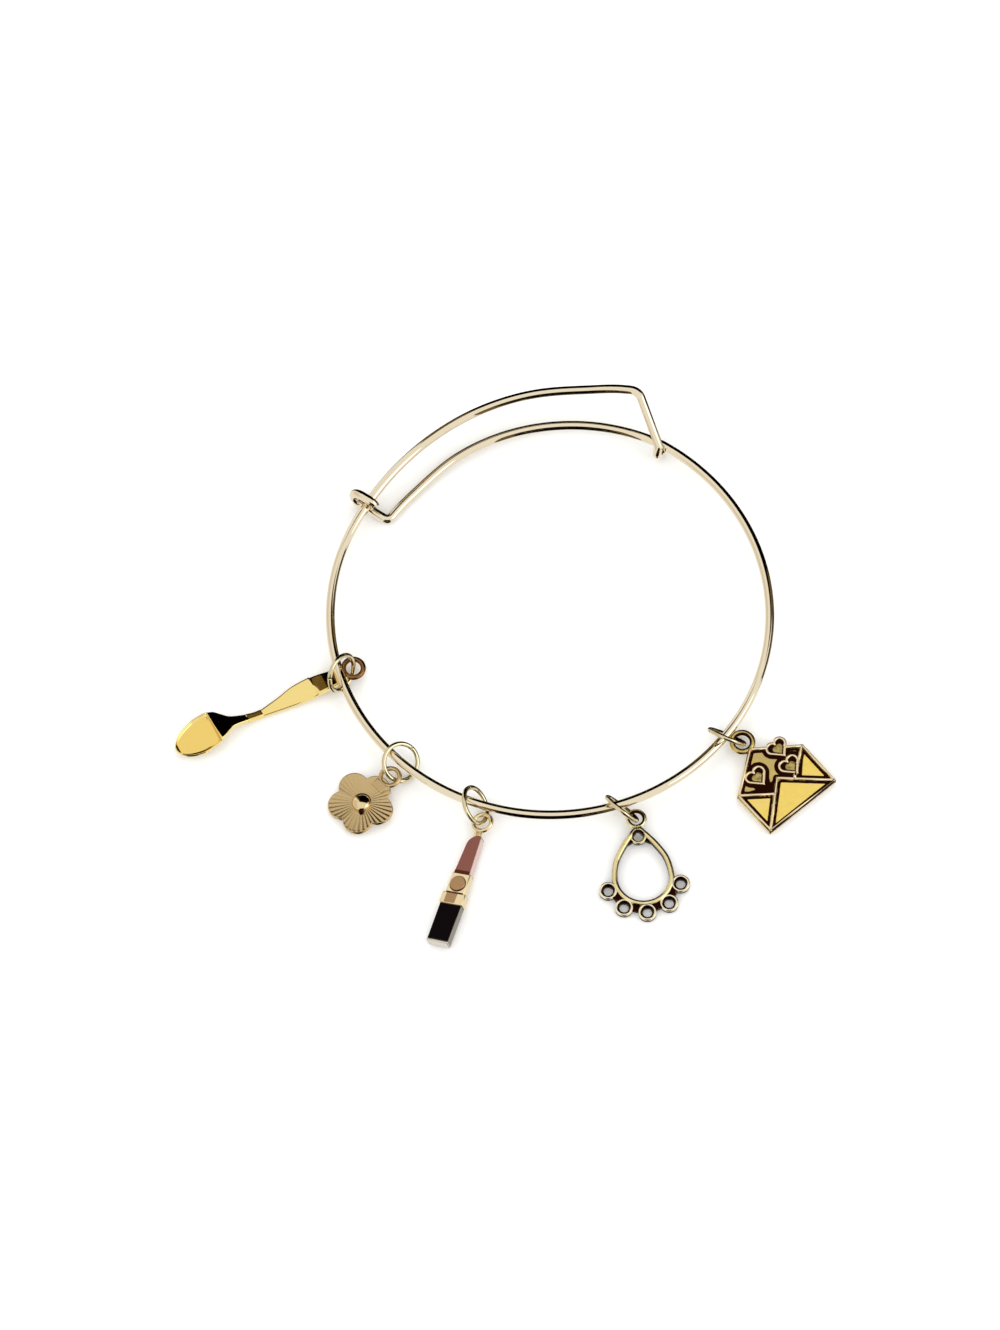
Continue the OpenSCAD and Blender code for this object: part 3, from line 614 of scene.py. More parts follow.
DISC_STEPS = 72
COLLAR_FROM = 12.355
COLLAR_W = 3.7
COLLAR_RISE = 0.1
CASE_FROM = 14.155
CASE_W = 3.4
CASE_FOOT = 0.35
CASE_EASE = 0.06
CASE_BENDS = (0.1, 0.1, 0.15, 0.15)
STICK_END = 20.555
ENAMEL_T = 0.13
FLOOR_UP = 0.03
FLOOR_EDGE = (0.03, 0.05)
EASE = 0.1
BURIED = 0.1
SUNK = -0.3
# in from the disc's edge, and height over the band
DISC_ROWS = [(0, SUNK), (0, DISC_RISE - 0.09), (0.03, DISC_RISE - 0.02), (0.1, DISC_RISE)]
# patches of another finish stand a hair proud
COLLAR_RUB = (-1.15, 0.55)
COLLAR_RUB_ENDS = (0.1, 0.12)
HAIR = 0.01
# the painted shade below the rose enamel: width, lift, side and overlap
SHADE_W = 0.5
SHADE_LIFT = 0.045
SHADE_SIDE = 0.06
SHADE_UNDER = 0.05
# the painted shade round the disc: wider by, moved along and across, and its height
DISC_SHADE = (0.06, 0.12, 0.02, 0.015)
# its further materials, by number
ROSE_STAINED, WORN, SATIN, BARE, CORNER_SHADE = 1, 2, 3, 4, 5


def bullet_outline(edge, z):
    """The lip colour's outline, moved in by edge."""
    half = BULLET_W / 2 - edge
    tip_half = BULLET_TIP_W / 2 - edge
    foot = BAND_FROM - BULLET_FOOT_EDGES * edge
    places = [
        (BULLET_FROM + BULLET_SLANT + edge, -tip_half),
        (BULLET_FROM + edge, BULLET_PEAK * tip_half),
        (BULLET_FROM + edge, tip_half),
        (foot, half),
        (foot, -half),
    ]
    return bent_outline(places, BULLET_BENDS, z)


def case_outline(edge, z):
    """The case's outline, moved in by edge."""
    half = CASE_W / 2 - edge
    low, high = CASE_FROM + edge, STICK_END - CASE_FOOT - edge
    return bent_outline([(low, -half), (low, half), (high, half), (high, -half)], CASE_BENDS, z)


def bent_outline(places, bends, z):
    """An outline at height z with each corner bent round."""
    tips = [Vector((x, y, z)) for x, y in places]
    outline = []
    for k, length in enumerate(bends):
        outline += corner(tips[k - 1], tips[k], tips[(k + 1) % len(tips)], length, BEND_STEPS)
    return outline


bm = bmesh.new()
half_t = STICK_T / 2
floor_z = half_t - ENAMEL_T + FLOOR_UP
add_turned(bm, round_profile(STICK_EYE_R, STICK_EYE_WIRE), Matrix())
prong_to = BULLET_FROM + PRONG_BURIED
for side in (-1, 1):
    y = side * PRONG_AT
    low = (STICK_EYE_R, y - PRONG_W / 2, -PRONG_T / 2)
    add_block(bm, low, (prong_to, y + PRONG_W / 2, PRONG_T / 2), EASE)
add_block(bm, (STICK_EYE_R, -PRONG_AT, -PRONG_T / 2), (prong_to, PRONG_AT, 0), BRIDGE_EASE)
before = set(bm.faces)
inward, down = FLOOR_EDGE
wall_rows = [(0, -half_t), (0, floor_z - down), (inward, floor_z)]
add_skin(bm, [bullet_outline(edge, z) for edge, z in wall_rows])
mark_new(bm, before, ROSE_STAINED)
band_to = COLLAR_FROM + 2 * BURIED
add_block(bm, (BAND_FROM - BURIED, -BAND_W / 2, -half_t), (band_to, BAND_W / 2, half_t), EASE)
collar_top = half_t + COLLAR_RISE
add_block(bm, (COLLAR_FROM, -COLLAR_W / 2, -half_t), (CASE_FROM, COLLAR_W / 2, collar_top), EASE)
before = set(bm.faces)
case_from = CASE_FROM - 2 * BURIED
add_block(bm, (case_from, -CASE_W / 2, -half_t), (STICK_END - BURIED, CASE_W / 2, floor_z), CASE_EASE)
mark_new(bm, before, BARE)
before = set(bm.faces)
add_block(bm, (STICK_END - CASE_FOOT, -CASE_W / 2, -half_t), (STICK_END, CASE_W / 2, half_t), EASE)
mark_new(bm, before, WORN)
before = set(bm.faces)
disc_middle = Vector(((BAND_FROM + COLLAR_FROM) / 2, 0, half_t))
disc = [round_loop(DISC_R - inward, DISC_STEPS, z) for inward, z in DISC_ROWS]
add_skin(bm, [[p + disc_middle for p in loop] for loop in disc])
low, high = COLLAR_RUB
near_end, far_end = COLLAR_RUB_ENDS
add_block(bm, (COLLAR_FROM + near_end, low, 0), (CASE_FROM - far_end, high, collar_top + HAIR))
mark_new(bm, before, SATIN)
before = set(bm.faces)
# painted brown shade in the corners: below the rose enamel, along the collar, round the disc
y = BULLET_W / 2 - SHADE_SIDE
add_block(bm, (BAND_FROM - SHADE_W, -y, 0), (BAND_FROM + SHADE_UNDER, y, half_t + SHADE_LIFT))
y = BAND_W / 2 - EASE
add_block(bm, (COLLAR_FROM - 2 * BURIED, -y, 0), (COLLAR_FROM + BURIED, y, half_t + HAIR))
wider, along, across, lift = DISC_SHADE
disc_shade_middle = disc_middle + Vector((along, across, 0))
disc_shade_ring = [p + disc_shade_middle for p in round_loop(DISC_R + wider, DISC_STEPS)]
add_skin(bm, [[p + Vector((0, 0, z)) for p in disc_shade_ring] for z in (SUNK, lift)])
mark_new(bm, before, CORNER_SHADE)
stick_place = charm_matrix("lipstick", STICK_WAY, STICK_SLOPE, STICK_ROLL)
bmesh.ops.transform(bm, matrix=stick_place, verts=bm.verts)
# Pale gold plate on cast zinc alloy: polished, with the softness of a casting.
cast_pale_gold = plated_metal("pale_gold_plate_on_casting", "#EAD6AC", 0.12, 0.1, 1.5)
# Plate stained by the rose enamel that ran down the wall of the lip colour.
rose_stained_plate = plated_metal("rose_stained_plate", "#E6C8C0", 0.22, 0.1, 1.0)
# The case's foot is rubbed to a silvery shine, and its walls are the grey of the alloy.
worn_plate = plated_metal("worn_plate_on_foot", "#D8D2C6", 0.14, 0.15, 1.0)
bare_alloy = plated_metal("bare_alloy_on_case", "#8B8479", 0.2, 0.15, 1.0)
# The disc is left satin from the mould.
satin_disc = plated_metal("pale_gold_satin_disc", "#B8946A", 0.3, 0.1, 0.4)
# Painted brown shade in the corners.
corner_shade_paint = plated_metal("painted_brown_corner_shade", "#5E3222", 0.35, 0.1, 0.4)
lipstick = new_object(
    "lipstick_charm_cast",
    finish_mesh(bm, "lipstick_charm"),
    cast_pale_gold,
    rose_stained_plate,
    worn_plate,
    satin_disc,
    bare_alloy,
    corner_shade_paint,
)
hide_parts("lipstick_charm")
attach(lipstick, "root")

# Lipstick's enamels. Rose and black soft enamel, dripped by hand into the two
# recesses and baked, so each is a level fill that stands just proud of the
# metal with a small rounded edge.
ENAMEL_EDGE = 0.07
# moved in from the fill's edge, and height
ENAMEL_ROWS = [(0.0, floor_z + 0.005), (0.0, half_t - 0.02), (0.02, half_t + 0.01), (0.07, half_t + 0.03)]


def enamel(name, colour, gloss_level):
    """Soft enamel: opaque colour under a level glassy skin, a little uneven."""
    material, tree = new_material(name)
    look = {
        "Base Color": srgb(colour),
        "Roughness": 0.16,
        "Specular IOR Level": gloss_level,
        "Normal": uneven_skin(tree, 0.15, 1.5),
    }
    set_surface(tree, look)
    return material


# Soft enamel keeps its colour from every side, and only its skin shines.
for part, outline, colour, gloss_level in (
    ("pink", bullet_outline, "#774438", 0.3),
    ("black", case_outline, "#070304", 0.03),
):
    bm = bmesh.new()
    add_skin(bm, [outline(ENAMEL_EDGE + edge, z) for edge, z in ENAMEL_ROWS])
    bmesh.ops.transform(bm, matrix=stick_place, verts=bm.verts)
    fill = new_object(
        f"lipstick_{part}_enamel_fill",
        finish_mesh(bm, f"lipstick_{part}_enamel"),
        enamel(f"{part}_soft_enamel", colour, gloss_level),
    )
    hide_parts(f"lipstick_{part}_enamel")
    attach(fill, "root")

# Teardrop charm. An open cast drop of zinc alloy with an eyelet in its point
# and five round its foot. It is plated gold, dipped in a dark patina and
# wiped, so brown stays in the bores, the webs and the point.
HOOP_T = 1.1
HOOP_BAR = 0.8
HOOP_R = 4.6
DROP_EYE_R = 1.235
DROP_EYE_WIRE = 0.31
DROP_WAY = 276.3
DROP_SLOPE = 2.6454
DROP_FROM = 1.135
DROP_LENGTH = 8.15
HOOP_AT = 9.285
EYELETS = 5
EYELET_STEP = 36.5
EYELET_AT = 5.607
EYELET_R = 1.325
BORE_R = 0.7
INNER_EYE_AT = 2.765
INNER_EYE_R = 1.25
INNER_EYE_TALL = 0.8
EYELET_TALL = 0.85
EYELET_ROUND = 48
SIDE_STEPS = 48
ROUND_STEPS = 60
LEAST_HALF = 0.02
# length, half width, low and high of the web at the eye
DROP_WEB = (0.9, 0.5, -0.31, 0.25)
DROP_WEB_EASE = 0.06
# webs: between the eyelets by distance out and turn, in the point by place
FOOT_WEB = ((-0.2, -9), (-0.2, 9), (0.95, 6), (0.95, -6))
POINT_WEB = ((1.3, -0.1), (1.3, 0.1), (2.05, 0.62), (2.05, -0.62))
SIDE_WEB = ((3.1, 1.0), (4.05, 1.72), (3.65, 0.95))
POINT_WEB_TOP = -0.05
WEB_RIM = 0.04
# the bar's outer side: share of its width, and share of its half height
BAR_SIDE = [(0, -1), (0, 0.4), (0.06, 0.62), (0.17, 0.84), (0.33, 0.97), (0.5, 1)]
# an eyelet's rim and mouth: in from its outside, and below its top
RIM_ROWS = [(0, 0.1), (0.02, 0.03), (0.05, 0), (0.3, 0), (0.32, 0.03), (0.36, 0.14)]
# its bore: out from the bore's wall, and below its top
BORE_ROWS = [(0.03, 0.42), (0, 0.5)]
# down, half width and slant, as in the part's source
DROP_SIDE = [
    (0.00, 0.09, 1.3),
    (0.07, 0.18, 1.3),
    (0.20, 0.38, 1.3),
    (0.36, 0.60, 1.25),
    (0.61, 0.86, 1.1),
    (0.82, 0.965, 1.02),
    (1.00, 1.00, 1.0),
]


def drop_station(t):
    """Outer and inner point of the drop's left side at row t of its table."""
    down, wide, slant = smooth_row(DROP_SIDE, t)
    x = DROP_FROM + DROP_LENGTH * down
    outer = HOOP_R * wide
    return Vector((x, outer, 0)), Vector((x, max(LEAST_HALF, outer - HOOP_BAR * slant), 0))


def bar_section(outer, inner):
    """The bar's section between its outer and inner side: upright, round topped."""
    shape = BAR_SIDE + [(1 - s, h) for s, h in reversed(BAR_SIDE[:-1])]
    return [outer.lerp(inner, s) + Vector((0, 0, h * HOOP_T / 2)) for s, h in shape]


def add_eyelet(bm, middle, r, height):
    """A round eyelet: raised rim, countersunk mouth and a bore right through."""
    under = -HOOP_T / 2
    top = under + height
    profile = [(BORE_R, under), (r, under)]
    profile += [(r - inward, top - down) for inward, down in RIM_ROWS]
    profile += [(BORE_R + outward, top - down) for outward, down in BORE_ROWS]
    add_turned(bm, profile, Matrix.Translation(middle), along=EYELET_ROUND)


def add_plate(bm, places, low, high):
    """A flat web between two heights, with a narrow rim below its top."""
    add_skin(bm, [[Vector((x, y, z)) for x, y in places] for z in (low, high - WEB_RIM, high)])


bm = bmesh.new()
side = [drop_station(t) for t in steps(0, len(DROP_SIDE) - 1, SIDE_STEPS)]
round_end = [(polar(HOOP_R, a), polar(HOOP_R - HOOP_BAR, a)) for a in steps(90, -90, ROUND_STEPS)]
shift = Vector((HOOP_AT, 0, 0))
stations = side[:-1] + [(o + shift, i + shift) for o, i in round_end]
stations += [(Vector((o.x, -o.y, 0)), Vector((i.x, -i.y, 0))) for o, i in reversed(side[:-1])]
add_skin(bm, [bar_section(o, i) for o, i in stations])
add_turned(bm, round_profile(DROP_EYE_R, DROP_EYE_WIRE), Matrix())
length, half_wide, low, high = DROP_WEB
add_block(bm, (DROP_EYE_R, -half_wide, low), (DROP_EYE_R + length, half_wide, high), DROP_WEB_EASE)
under = -HOOP_T / 2
inner_eye = Vector((INNER_EYE_AT, 0, 0))
add_eyelet(bm, inner_eye, INNER_EYE_R, INNER_EYE_TALL * HOOP_T)
turns = [(k - (EYELETS - 1) / 2) * EYELET_STEP for k in range(EYELETS)]
eyelet_middles = [polar(EYELET_AT, turn) + shift for turn in turns]
for middle in eyelet_middles:
    add_eyelet(bm, middle, EYELET_R, EYELET_TALL * HOOP_T)
for one, other in zip(turns, turns[1:]):
    halfway = (one + other) / 2
    web = [polar(HOOP_R + out, halfway + turn) + shift for out, turn in FOOT_WEB]
    add_plate(bm, [(p.x, p.y) for p in web], under, 0)
# sunk webs in the point of the drop: above its eyelet, and at the eyelet's sides
add_plate(bm, POINT_WEB, under, POINT_WEB_TOP)
for side in (-1, 1):
    add_plate(bm, [(x, side * y) for x, y in SIDE_WEB], under, 0)

# where the patina fades: in the eyelets' mouths, on their walls, in the eye, on the bar
MOUTH_W = 0.22
MOUTH_PATINA = (-0.38, -0.32)
WALL_PATINA = (-0.1, 0.15)
EYE_PATINA = (-0.06, 0.08)
EYE_PATINA_LOST = 0.8
BAR_PATINA = (0.22, 0.42)
POINT_SIDE = 0.2
TOUCH = 0.01
BAR_TONE = 0.55


def drop_patina(p):
    """How much patina stays at a point of the teardrop, from 0 to 1."""
    for middle in eyelet_middles + [inner_eye]:
        r = INNER_EYE_R if middle is inner_eye else EYELET_R
        off = (p - middle).xy.length
        if off < r - MOUTH_W:
            return 1 - fade(off - r, *MOUTH_PATINA)
        if off < r + TOUCH:
            above = middle is inner_eye and p.x < middle.x - POINT_SIDE
            return 1.0 if above else 1 - fade(p.z, *WALL_PATINA)
    off = p.xy.length - DROP_EYE_R
    if off < DROP_EYE_WIRE + TOUCH:
        return 1 - EYE_PATINA_LOST * fade(off, *EYE_PATINA)
    return 1 - fade(p.z, *BAR_PATINA)


def drop_tone(p):
    """Paleness of the wiped gold: the eyelets' rims are rubbed palest."""
    on_eyelet = any((p - middle).xy.length < EYELET_R + TOUCH for middle in eyelet_middles)
    return 1.0 if on_eyelet else BAR_TONE


def paint(bm, **shares):
    """Stores each named share at every vertex, for the material to read."""
    for name, share_at in shares.items():
        layer = bm.verts.layers.float.new(name)
        for v in bm.verts:
            v[layer] = share_at(v.co)


paint(bm, patina=drop_patina, tone=drop_tone)
bmesh.ops.transform(bm, matrix=charm_matrix("teardrop", DROP_WAY, DROP_SLOPE), verts=bm.verts)

# Antique finish: the wiped edge of the patina wanders by about a quarter of a millimetre,
# and the wiping leaves cloudy patches about two millimetres across.
WANDER_MM = 0.5
CLOUD_MM = 2.2
SWING = 0.5
PATINA_EDGE = (0.3, 0.62)
PATINA_ROUGHNESS = 0.5
CAST_SKIN = (0.25, 0.8)


def wandering(tree, amount, patch_mm):
    """An amount that noise raises and lowers, in patches of that size."""
    place = add_node(tree, "ShaderNodeTexCoord", {}).outputs["Object"]
    waves = {"Vector": place, "Scale": 1 / (patch_mm * MM), "Detail": 3.0}
    noise = add_node(tree, "ShaderNodeTexNoise", waves).outputs["Fac"]
    swing = add_node(tree, "ShaderNodeMath", {0: noise, 1: SWING, 2: -SWING / 2}, operation="MULTIPLY_ADD")
    both = {0: amount, 1: swing.outputs[0]}
    return add_node(tree, "ShaderNodeMath", both, operation="ADD").outputs[0]


def antique_metal(name, dull, bright, pale, dark, roughness):
    """Gold plate, dull to pale by its tone, with dark patina left in the low places."""
    material, tree = new_material(name)
    patina = add_node(tree, "ShaderNodeAttribute", {}, attribute_name="patina").outputs["Fac"]
    edge = {"Value": wandering(tree, patina, WANDER_MM)}
    edge["From Min"], edge["From Max"] = PATINA_EDGE
    share = add_node(tree, "ShaderNodeMapRange", edge).outputs["Result"]
    painted = add_node(tree, "ShaderNodeAttribute", {}, attribute_name="tone").outputs["Fac"]
    tone = wandering(tree, painted, CLOUD_MM)
    low_tone = add_node(tree, "ShaderNodeMapRange", {"Value": tone, "From Max": 0.5}).outputs["Result"]
    high_tone = add_node(tree, "ShaderNodeMapRange", {"Value": tone, "From Min": 0.5}).outputs["Result"]
    colour = srgb(dull)
    for factor, code in ((low_tone, bright), (high_tone, pale), (share, dark)):
        mixed = {"Factor": factor, "A": colour, "B": srgb(code)}
        colour = add_node(tree, "ShaderNodeMix", mixed, data_type="RGBA").outputs["Result"]
    gloss = {"Value": share, "To Min": roughness, "To Max": PATINA_ROUGHNESS}
    look = {
        "Base Color": colour,
        "Metallic": 1.0,
        "Roughness": add_node(tree, "ShaderNodeMapRange", gloss).outputs["Result"],
        "Normal": uneven_skin(tree, *CAST_SKIN),
    }
    set_surface(tree, look)
    return material


# Antique gold: soft gold on the high places, dark brown patina in the low ones.
antique_gold = antique_metal("antique_gold_plate", "#A98E52", "#E6D69C", "#F3E6C2", "#2A0F06", 0.2)
teardrop = new_object("teardrop_charm_cast", finish_mesh(bm, "teardrop_charm"), antique_gold)
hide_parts("teardrop_charm")
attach(teardrop, "root")

# Envelope charm. A cast plate of zinc alloy with raised fold lines and three
# raised hearts, plated gold, patinated and wiped, so that each line stands
# between two brown ones.
LETTER_T = 0.9
LINE_H = 0.3
LINE_W = 0.45
FOOT_LINE_SHARE = 0.6
LETTER_EYE_R = 1.525
LETTER_EYE_WIRE = 0.425
LETTER_WAY = 311
LETTER_SLOPE = 3.2581
FLAP_TIP = 1.425
LETTER_TOP = 6.225
LETTER_FOOT = 13.625
LETTER_HALF = 6.45
FOLD_TIP = 7.779
FOLD_SIDE = 9.481
FOLD_SIDE_Y = 1.878
HEART_W = 3.5
HEART_STEPS = 72
HALVINGS = 24
# down from the flap's tip, and across, as shares
HEARTS = [(0.255, 0.50), (0.375, -0.33), (0.525, 0.44)]
FLAP_MITRE = 1.6
SIDE_MITRE = 0.3
inset = LINE_W / 2
line_side = LETTER_HALF - inset
line_foot = LETTER_FOOT - inset
rim = [
    (FLAP_TIP + FLAP_MITRE * inset, 0),
    (LETTER_TOP + SIDE_MITRE * inset, line_side),
    (line_foot, line_side),
    (line_foot, -line_side),
    (LETTER_TOP + SIDE_MITRE * inset, -line_side),
]
fold_lines = list(zip(rim, rim[1:] + rim[:1]))
for side in (-1, 1):
    fold_lines.append(((FOLD_TIP, 0), (line_foot, side * line_side)))
    fold_lines.append(((LETTER_TOP, side * line_side), (FOLD_SIDE, side * FOLD_SIDE_Y)))
letter_long = LETTER_FOOT - FLAP_TIP
heart_middles = [Vector((FLAP_TIP + down * letter_long, across * LETTER_HALF)) for down, across in HEARTS]
# a heart is a square on its corner with half a disc on each upper side
heart_side = HEART_W / (1 + math.sqrt(0.5))


def heart_edge(p):
    """Distance of p from a heart's edge, negative inside; its tip is towards +X."""
    half = heart_side / 2
    q = Vector((p.x + abs(p.y), p.x - abs(p.y))) / math.sqrt(2)
    over = Vector((max(abs(q.x) - half, 0), max(abs(q.y) - half, 0)))
    square = over.length + min(max(abs(q.x), abs(q.y)) - half, 0)
    lobe_at = half / math.sqrt(2)
    lobe = Vector((p.x + lobe_at, abs(p.y) - lobe_at)).length - half
    return min(square, lobe)


def line_gap(p, a, b):
    """Distance of p from the line between a and b."""
    a, b = Vector(a), Vector(b)
    run = b - a
    f = max(0, min(1, (p - a).dot(run) / run.length_squared))
    return (p - a - run * f).length


def heart_points(move_in):
    """The outline of a heart moved in, found along rays from near its middle."""
    points = []
    for spoke in round_loop(1, HEART_STEPS):
        ray = spoke.xy
        low, high = 0.0, HEART_W
        for _ in range(HALVINGS):
            mid = (low + high) / 2
            low, high = (mid, high) if heart_edge(ray * mid) < -move_in else (low, mid)
        points.append(ray * low)
    return points


bm = bmesh.new()
plate_top = LETTER_T / 2
outline = [
    (FLAP_TIP, 0),
    (LETTER_TOP, LETTER_HALF),
    (LETTER_FOOT, LETTER_HALF),
    (LETTER_FOOT, -LETTER_HALF),
    (LETTER_TOP, -LETTER_HALF),
]
edges = add_loop(bm, [Vector((x, y, plate_top)) for x, y in outline])[1]
bmesh.ops.contextual_create(bm, geom=edges)
CELL = 0.13
for axis, low, high in ((0, FLAP_TIP, LETTER_FOOT), (1, -LETTER_HALF, LETTER_HALF)):
    normal = Vector((1 - axis, axis, 0))
    for cut in steps(low, high, int((high - low) / CELL))[1:-1]:
        geom = bm.verts[:] + bm.edges[:] + bm.faces[:]
        bmesh.ops.bisect_plane(bm, geom=geom, plane_co=normal * cut, plane_no=normal)
border = [e for e in bm.edges if e.is_boundary]
skirt = bmesh.ops.extrude_edge_only(bm, edges=border)["geom"]
skirt_foot = [g for g in skirt if isinstance(g, bmesh.types.BMVert)]
bmesh.ops.translate(bm, vec=(0, 0, -LETTER_T), verts=skirt_foot)
bmesh.ops.holes_fill(bm, edges=[e for e in bm.edges if e.is_boundary], sides=0)

line_top = plate_top + LINE_H
# across in half widths of a line, and height
LINE_SECTION = [(-1, 0.3), (-1, plate_top + 0.1), (-0.85, line_top - 0.08), (-0.5, line_top)]
LINE_SECTION += [(-y, z) for y, z in reversed(LINE_SECTION)]
LINE_PAST = 0.3
LINE_TRIES = 200
HEART_OVERLAP = 0.1


def outside_hearts(a, b):
    """The ends of each part of a line that no heart covers."""
    parts = []
    for p in [Vector(a).lerp(Vector(b), f) for f in steps(0, 1, LINE_TRIES)]:
        clear = min(heart_edge(p - m) for m in heart_middles) > -HEART_OVERLAP
        if clear and parts and parts[-1][2]:
            parts[-1][1] = p
        elif clear:
            parts.append([p, p, True])
        elif parts:
            parts[-1][2] = False
    return [(start, end) for start, end, _ in parts]


def add_fold_line(a, b, half_w):
    """A raised line between two points."""
    run = b - a
    way = Matrix.Translation((a.x, a.y, 0)) @ turned("Z", math.degrees(math.atan2(run.y, run.x)))
    ends = (-LINE_PAST * LINE_W, run.length + LINE_PAST * LINE_W)
    add_skin(bm, [[way @ Vector((x, y * half_w, z)) for y, z in LINE_SECTION] for x in ends])


foot_line = fold_lines[2]
for line in fold_lines:
    half_w = inset * (FOOT_LINE_SHARE if line == foot_line else 1)
    for a, b in outside_hearts(*line):
        add_fold_line(a, b, half_w)

# moved in from the heart's edge, and height
HEART_ROWS = [(0.0, -plate_top), (0.0, line_top - 0.1), (0.05, line_top - 0.02), (0.13, line_top)]
HEART_ROWS += [(0.27, line_top), (0.35, line_top - 0.02), (0.4, line_top - 0.1), (0.42, plate_top + 0.02)]
# the small heart of gold inside: share of the heart's size, and height
FILL_ROWS = [(0.62, 0.02), (0.56, 0.02), (0.5, 0.04), (0.44, 0.05), (0.36, 0.06), (0.24, 0.06)]
for middle in heart_middles:
    rows = [(heart_points(move), z) for move, z in HEART_ROWS]
    rows += [([p * share for p in heart_points(0)], plate_top + z) for share, z in FILL_ROWS]
    add_skin(bm, [[(middle + p).to_3d() + Vector((0, 0, z)) for p in points] for points, z in rows])
add_turned(bm, round_profile(LETTER_EYE_R, LETTER_EYE_WIRE), Matrix())

# where the patina fades: in the eye, beside the lines, round and in the hearts, and in
# the paper's corners
LETTER_EYE_PATINA = (-0.25, -0.05)
LETTER_EYE_LOST = 0.75
LINE_PATINA = (0.3, 0.5)
HEART_PATINA = (0.4, 0.7)
HEART_FILL = 0.5
FILL_PATINA = (-0.1, 0.15)
FILL_LOST = 0.62
LEFT_CORNER_ACROSS = (0.6, 1.6)
LEFT_CORNER_DOWN = (6.6, 7.4)
LEFT_CORNER_WIDER = 0.4
OUTER_CORNERS = (4.0, 5.6)
OUTER_CORNERS_SHARE = 0.6
FOOT_LINE_LESS = 0.24
RAISED_FROM = plate_top + 0.15
PANEL_TONE = 0.5


def in_letter(p):
    """True on the paper that shows between the flap and the folds."""
    y = abs(p.y)
    side_slope = (FOLD_SIDE - LETTER_TOP) / (LETTER_TOP - FOLD_SIDE_Y)
    tip_slope = (FOLD_SIDE - FOLD_TIP) / FOLD_SIDE_Y
    return p.x < min(LETTER_TOP + side_slope * (LETTER_TOP - y), FOLD_TIP + tip_slope * y)


def nearest_line(p):
    """Distance of p from the side of the nearest fold line."""
    gaps = [line_gap(p, a, b) + (FOOT_LINE_LESS if (a, b) == foot_line else 0) for a, b in fold_lines]
    return min(gaps) - inset


def letter_patina(p):
    """How much patina stays at a point of the envelope, from 0 to 1."""
    flat = p.xy
    off = flat.length - LETTER_EYE_R
    if off < LETTER_EYE_WIRE:
        return 1 - LETTER_EYE_LOST * fade(off, *LETTER_EYE_PATINA)
    if p.z > RAISED_FROM or p.z < 0:
        return 0.0
    heart = min(heart_edge(flat - m) for m in heart_middles)
    if heart < -HEART_OVERLAP:
        fill = min(heart_edge((flat - m) / HEART_FILL) for m in heart_middles)
        return 1 - FILL_LOST * fade(-fill, *FILL_PATINA)
    line = nearest_line(flat)
    if line < 0:
        return 0.0
    wider = corner_dirt = 0
    if in_letter(p):
        # more of it stays in the paper's left corner, between the heart and the fold
        wider = LEFT_CORNER_WIDER * fade(-p.y, *LEFT_CORNER_ACROSS) * fade(p.x, *LEFT_CORNER_DOWN)
        corner_dirt = OUTER_CORNERS_SHARE * fade(abs(p.y), *OUTER_CORNERS)
    near_line = 1 - fade(line - wider, *LINE_PATINA)
    near_heart = 1 - fade(heart - wider, *HEART_PATINA)
    return max(near_line, near_heart, corner_dirt)


def letter_tone(p):
    """Paleness of the wiped gold: the lines are palest and the paper is dull."""
    if p.z > RAISED_FROM or p.z < 0:
        return 1.0
    on_heart = min(heart_edge(p.xy - m) for m in heart_middles) < 0
    return 0.0 if on_heart or in_letter(p) else PANEL_TONE


paint(bm, patina=letter_patina, tone=letter_tone)
bmesh.ops.transform(bm, matrix=charm_matrix("envelope", LETTER_WAY, LETTER_SLOPE), verts=bm.verts)
# Antique gold again, plated a warmer yellow and wiped until the lines are pale.
antique_yellow_gold = antique_metal(
    "antique_yellow_gold_plate", "#CDB570", "#FFDF74", "#F0DCB8", "#2B0E06", 0.24
)
envelope = new_object("envelope_charm_cast", finish_mesh(bm, "envelope_charm"), antique_yellow_gold)
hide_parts("envelope_charm")
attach(envelope, "root")

# Studio. A plain pale table under an even pale light and four soft lamps, three
# of them hidden from the shine. Cards stand round it, as a jewellery
# photographer sets them, and only the shine of the metal shows them.
CARD_AT = 2.0
CARD_STEP = 0.1
LAMP_AT = 1.8
LAMP_WIDE = 1.2
TABLE_WIDE = 8
# in millimetres
TABLE_DOWN = 0.02


def facing(azimuth, elevation, distance):
    """A place that far off, turned to the object; azimuth runs from +Y to +X."""
    a, e = math.radians(azimuth), math.radians(elevation)
    way = Vector((math.sin(a) * math.cos(e), math.cos(a) * math.cos(e), math.sin(e)))
    return Matrix.Translation(way * distance) @ way.to_track_quat("Z", "Y").to_matrix().to_4x4()


def stage_plane(name, kind, look, wide, high, place):
    """A flat sheet of the studio with its own plain material."""
    material, tree = new_material(name)
    material.cycles.emission_sampling = "NONE"
    set_surface(tree, look, kind)
    bm = bmesh.new()
    bmesh.ops.create_grid(bm, x_segments=1, y_segments=1, size=0.5)
    bmesh.ops.scale(bm, vec=(wide, high, 1), verts=bm.verts)
    bmesh.ops.transform(bm, matrix=place, verts=bm.verts)
    mesh = bpy.data.meshes.new(name)
    bm.to_mesh(mesh)
    bm.free()
    made = new_object(name, mesh, material)
    return made


table_look = {"Color": srgb("#FCFCFB")}
table_place = Matrix.Translation((0, 0, -TABLE_DOWN * MM))
table = stage_plane("table", "ShaderNodeBsdfDiffuse", table_look, TABLE_WIDE, TABLE_WIDE, table_place)
table.visible_glossy = False
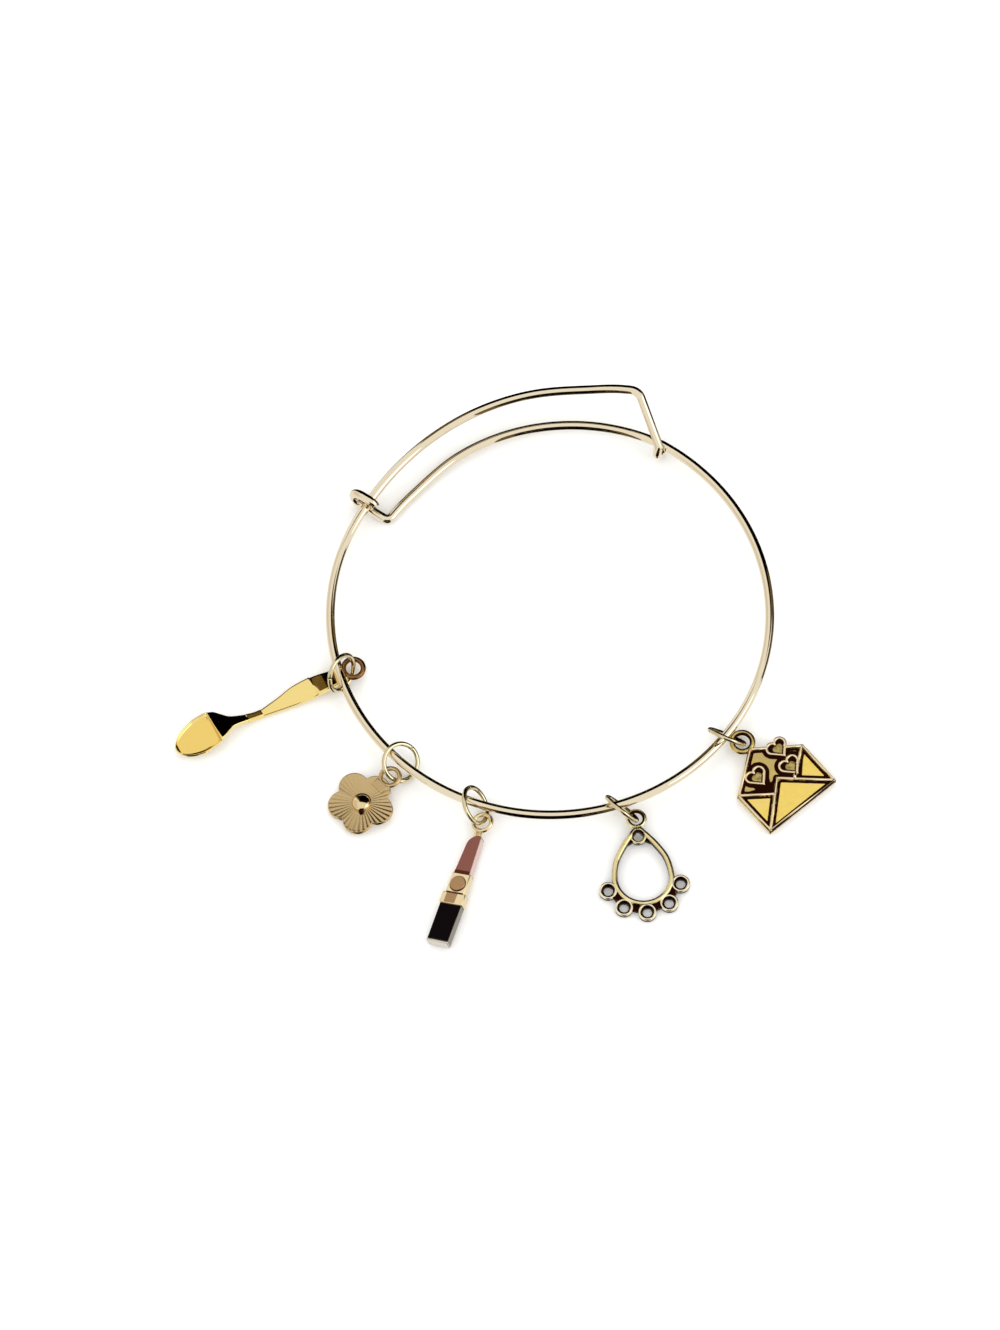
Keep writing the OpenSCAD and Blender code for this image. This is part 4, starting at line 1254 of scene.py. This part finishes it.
# azimuth and elevation of the middle, half width and half height, in degrees
CARDS = {
    "far_card": (15, 0, 38, 58.4, "#020101"),
    "far_card_margin": (16, 0, 47, 62.3, "#6A5836"),
    "right_card": (74, -4, 11, 26, "#3A2E1E"),
    "near_card": (180.5, -10, 21.5, 44, "#050302"),
    "near_card_margin": (180.5, -10, 30, 49, "#6A5836"),
    "low_card": (180, -68, 22, 14, "#3A2A16"),
    "left_card": (-85, 22, 40, 24, "#EAE2D6"),
}
for order, (name, (azimuth, elevation, half_wide, half_high, colour)) in enumerate(CARDS.items()):
    far = CARD_AT + CARD_STEP * order
    card = stage_plane(
        name,
        "ShaderNodeEmission",
        {"Color": srgb(colour), "Strength": 1.0},
        2 * far * math.tan(math.radians(half_wide)) * math.cos(math.radians(elevation)),
        2 * far * math.tan(math.radians(half_high)),
        facing(azimuth, elevation, far),
    )
    card.visible_camera = card.visible_diffuse = card.visible_shadow = False
    card.visible_transmission = False

world = bpy.data.worlds.new("pale_studio")
bpy.context.scene.world = world
world.use_nodes = True
glow = world.node_tree.nodes["Background"].inputs
glow["Color"].default_value = srgb("#FFFEFC")
glow["Strength"].default_value = 1.0

# azimuth and elevation, watts, and whether the metal shows the lamp
LAMPS = {
    "soft_right_lamp": (108, 36, 5, True),
    "soft_left_lamp": (-100, 34, 5, False),
    "soft_back_lamp": (10, 34, 5, False),
    "soft_front_lamp": (190, 34, 5, False),
}
for name, (azimuth, elevation, watts, shown) in LAMPS.items():
    light = bpy.data.lights.new(name, "AREA")
    light.shape = "DISK"
    light.size = LAMP_WIDE
    light.energy = watts
    lamp = bpy.data.objects.new(name, light)
    lamp.matrix_world = facing(azimuth, elevation, LAMP_AT)
    lamp.visible_glossy = shown
    bpy.context.scene.collection.objects.link(lamp)

# Camera. It looks from the front at 65 degrees above the table through a very
# long lens, as the photo does. The frame is 1000 by 1330 pixels.
PIXELS_TALL = 1330
PIXELS_PER_MM = 6.77
CAMERA_FAR = 3000
CAMERA_TILT = 65
AIM = (-7.39, -8.15, 2.225)
SENSOR = 36
SEEN_TO = 20
camera_data = bpy.data.cameras.new("camera")
camera_data.sensor_width = SENSOR
camera_data.lens = SENSOR * CAMERA_FAR / (PIXELS_TALL / PIXELS_PER_MM)
camera_data.clip_end = SEEN_TO
camera = bpy.data.objects.new("camera", camera_data)
tilt = math.radians(CAMERA_TILT)
back = Vector((0, -math.cos(tilt), math.sin(tilt)))
camera.location = Vector(AIM) * MM + back * CAMERA_FAR * MM
camera.rotation_euler = back.to_track_quat("Z", "Y").to_euler()
bpy.context.scene.collection.objects.link(camera)
bpy.context.scene.camera = camera
bpy.context.scene.view_settings.view_transform = "Standard"
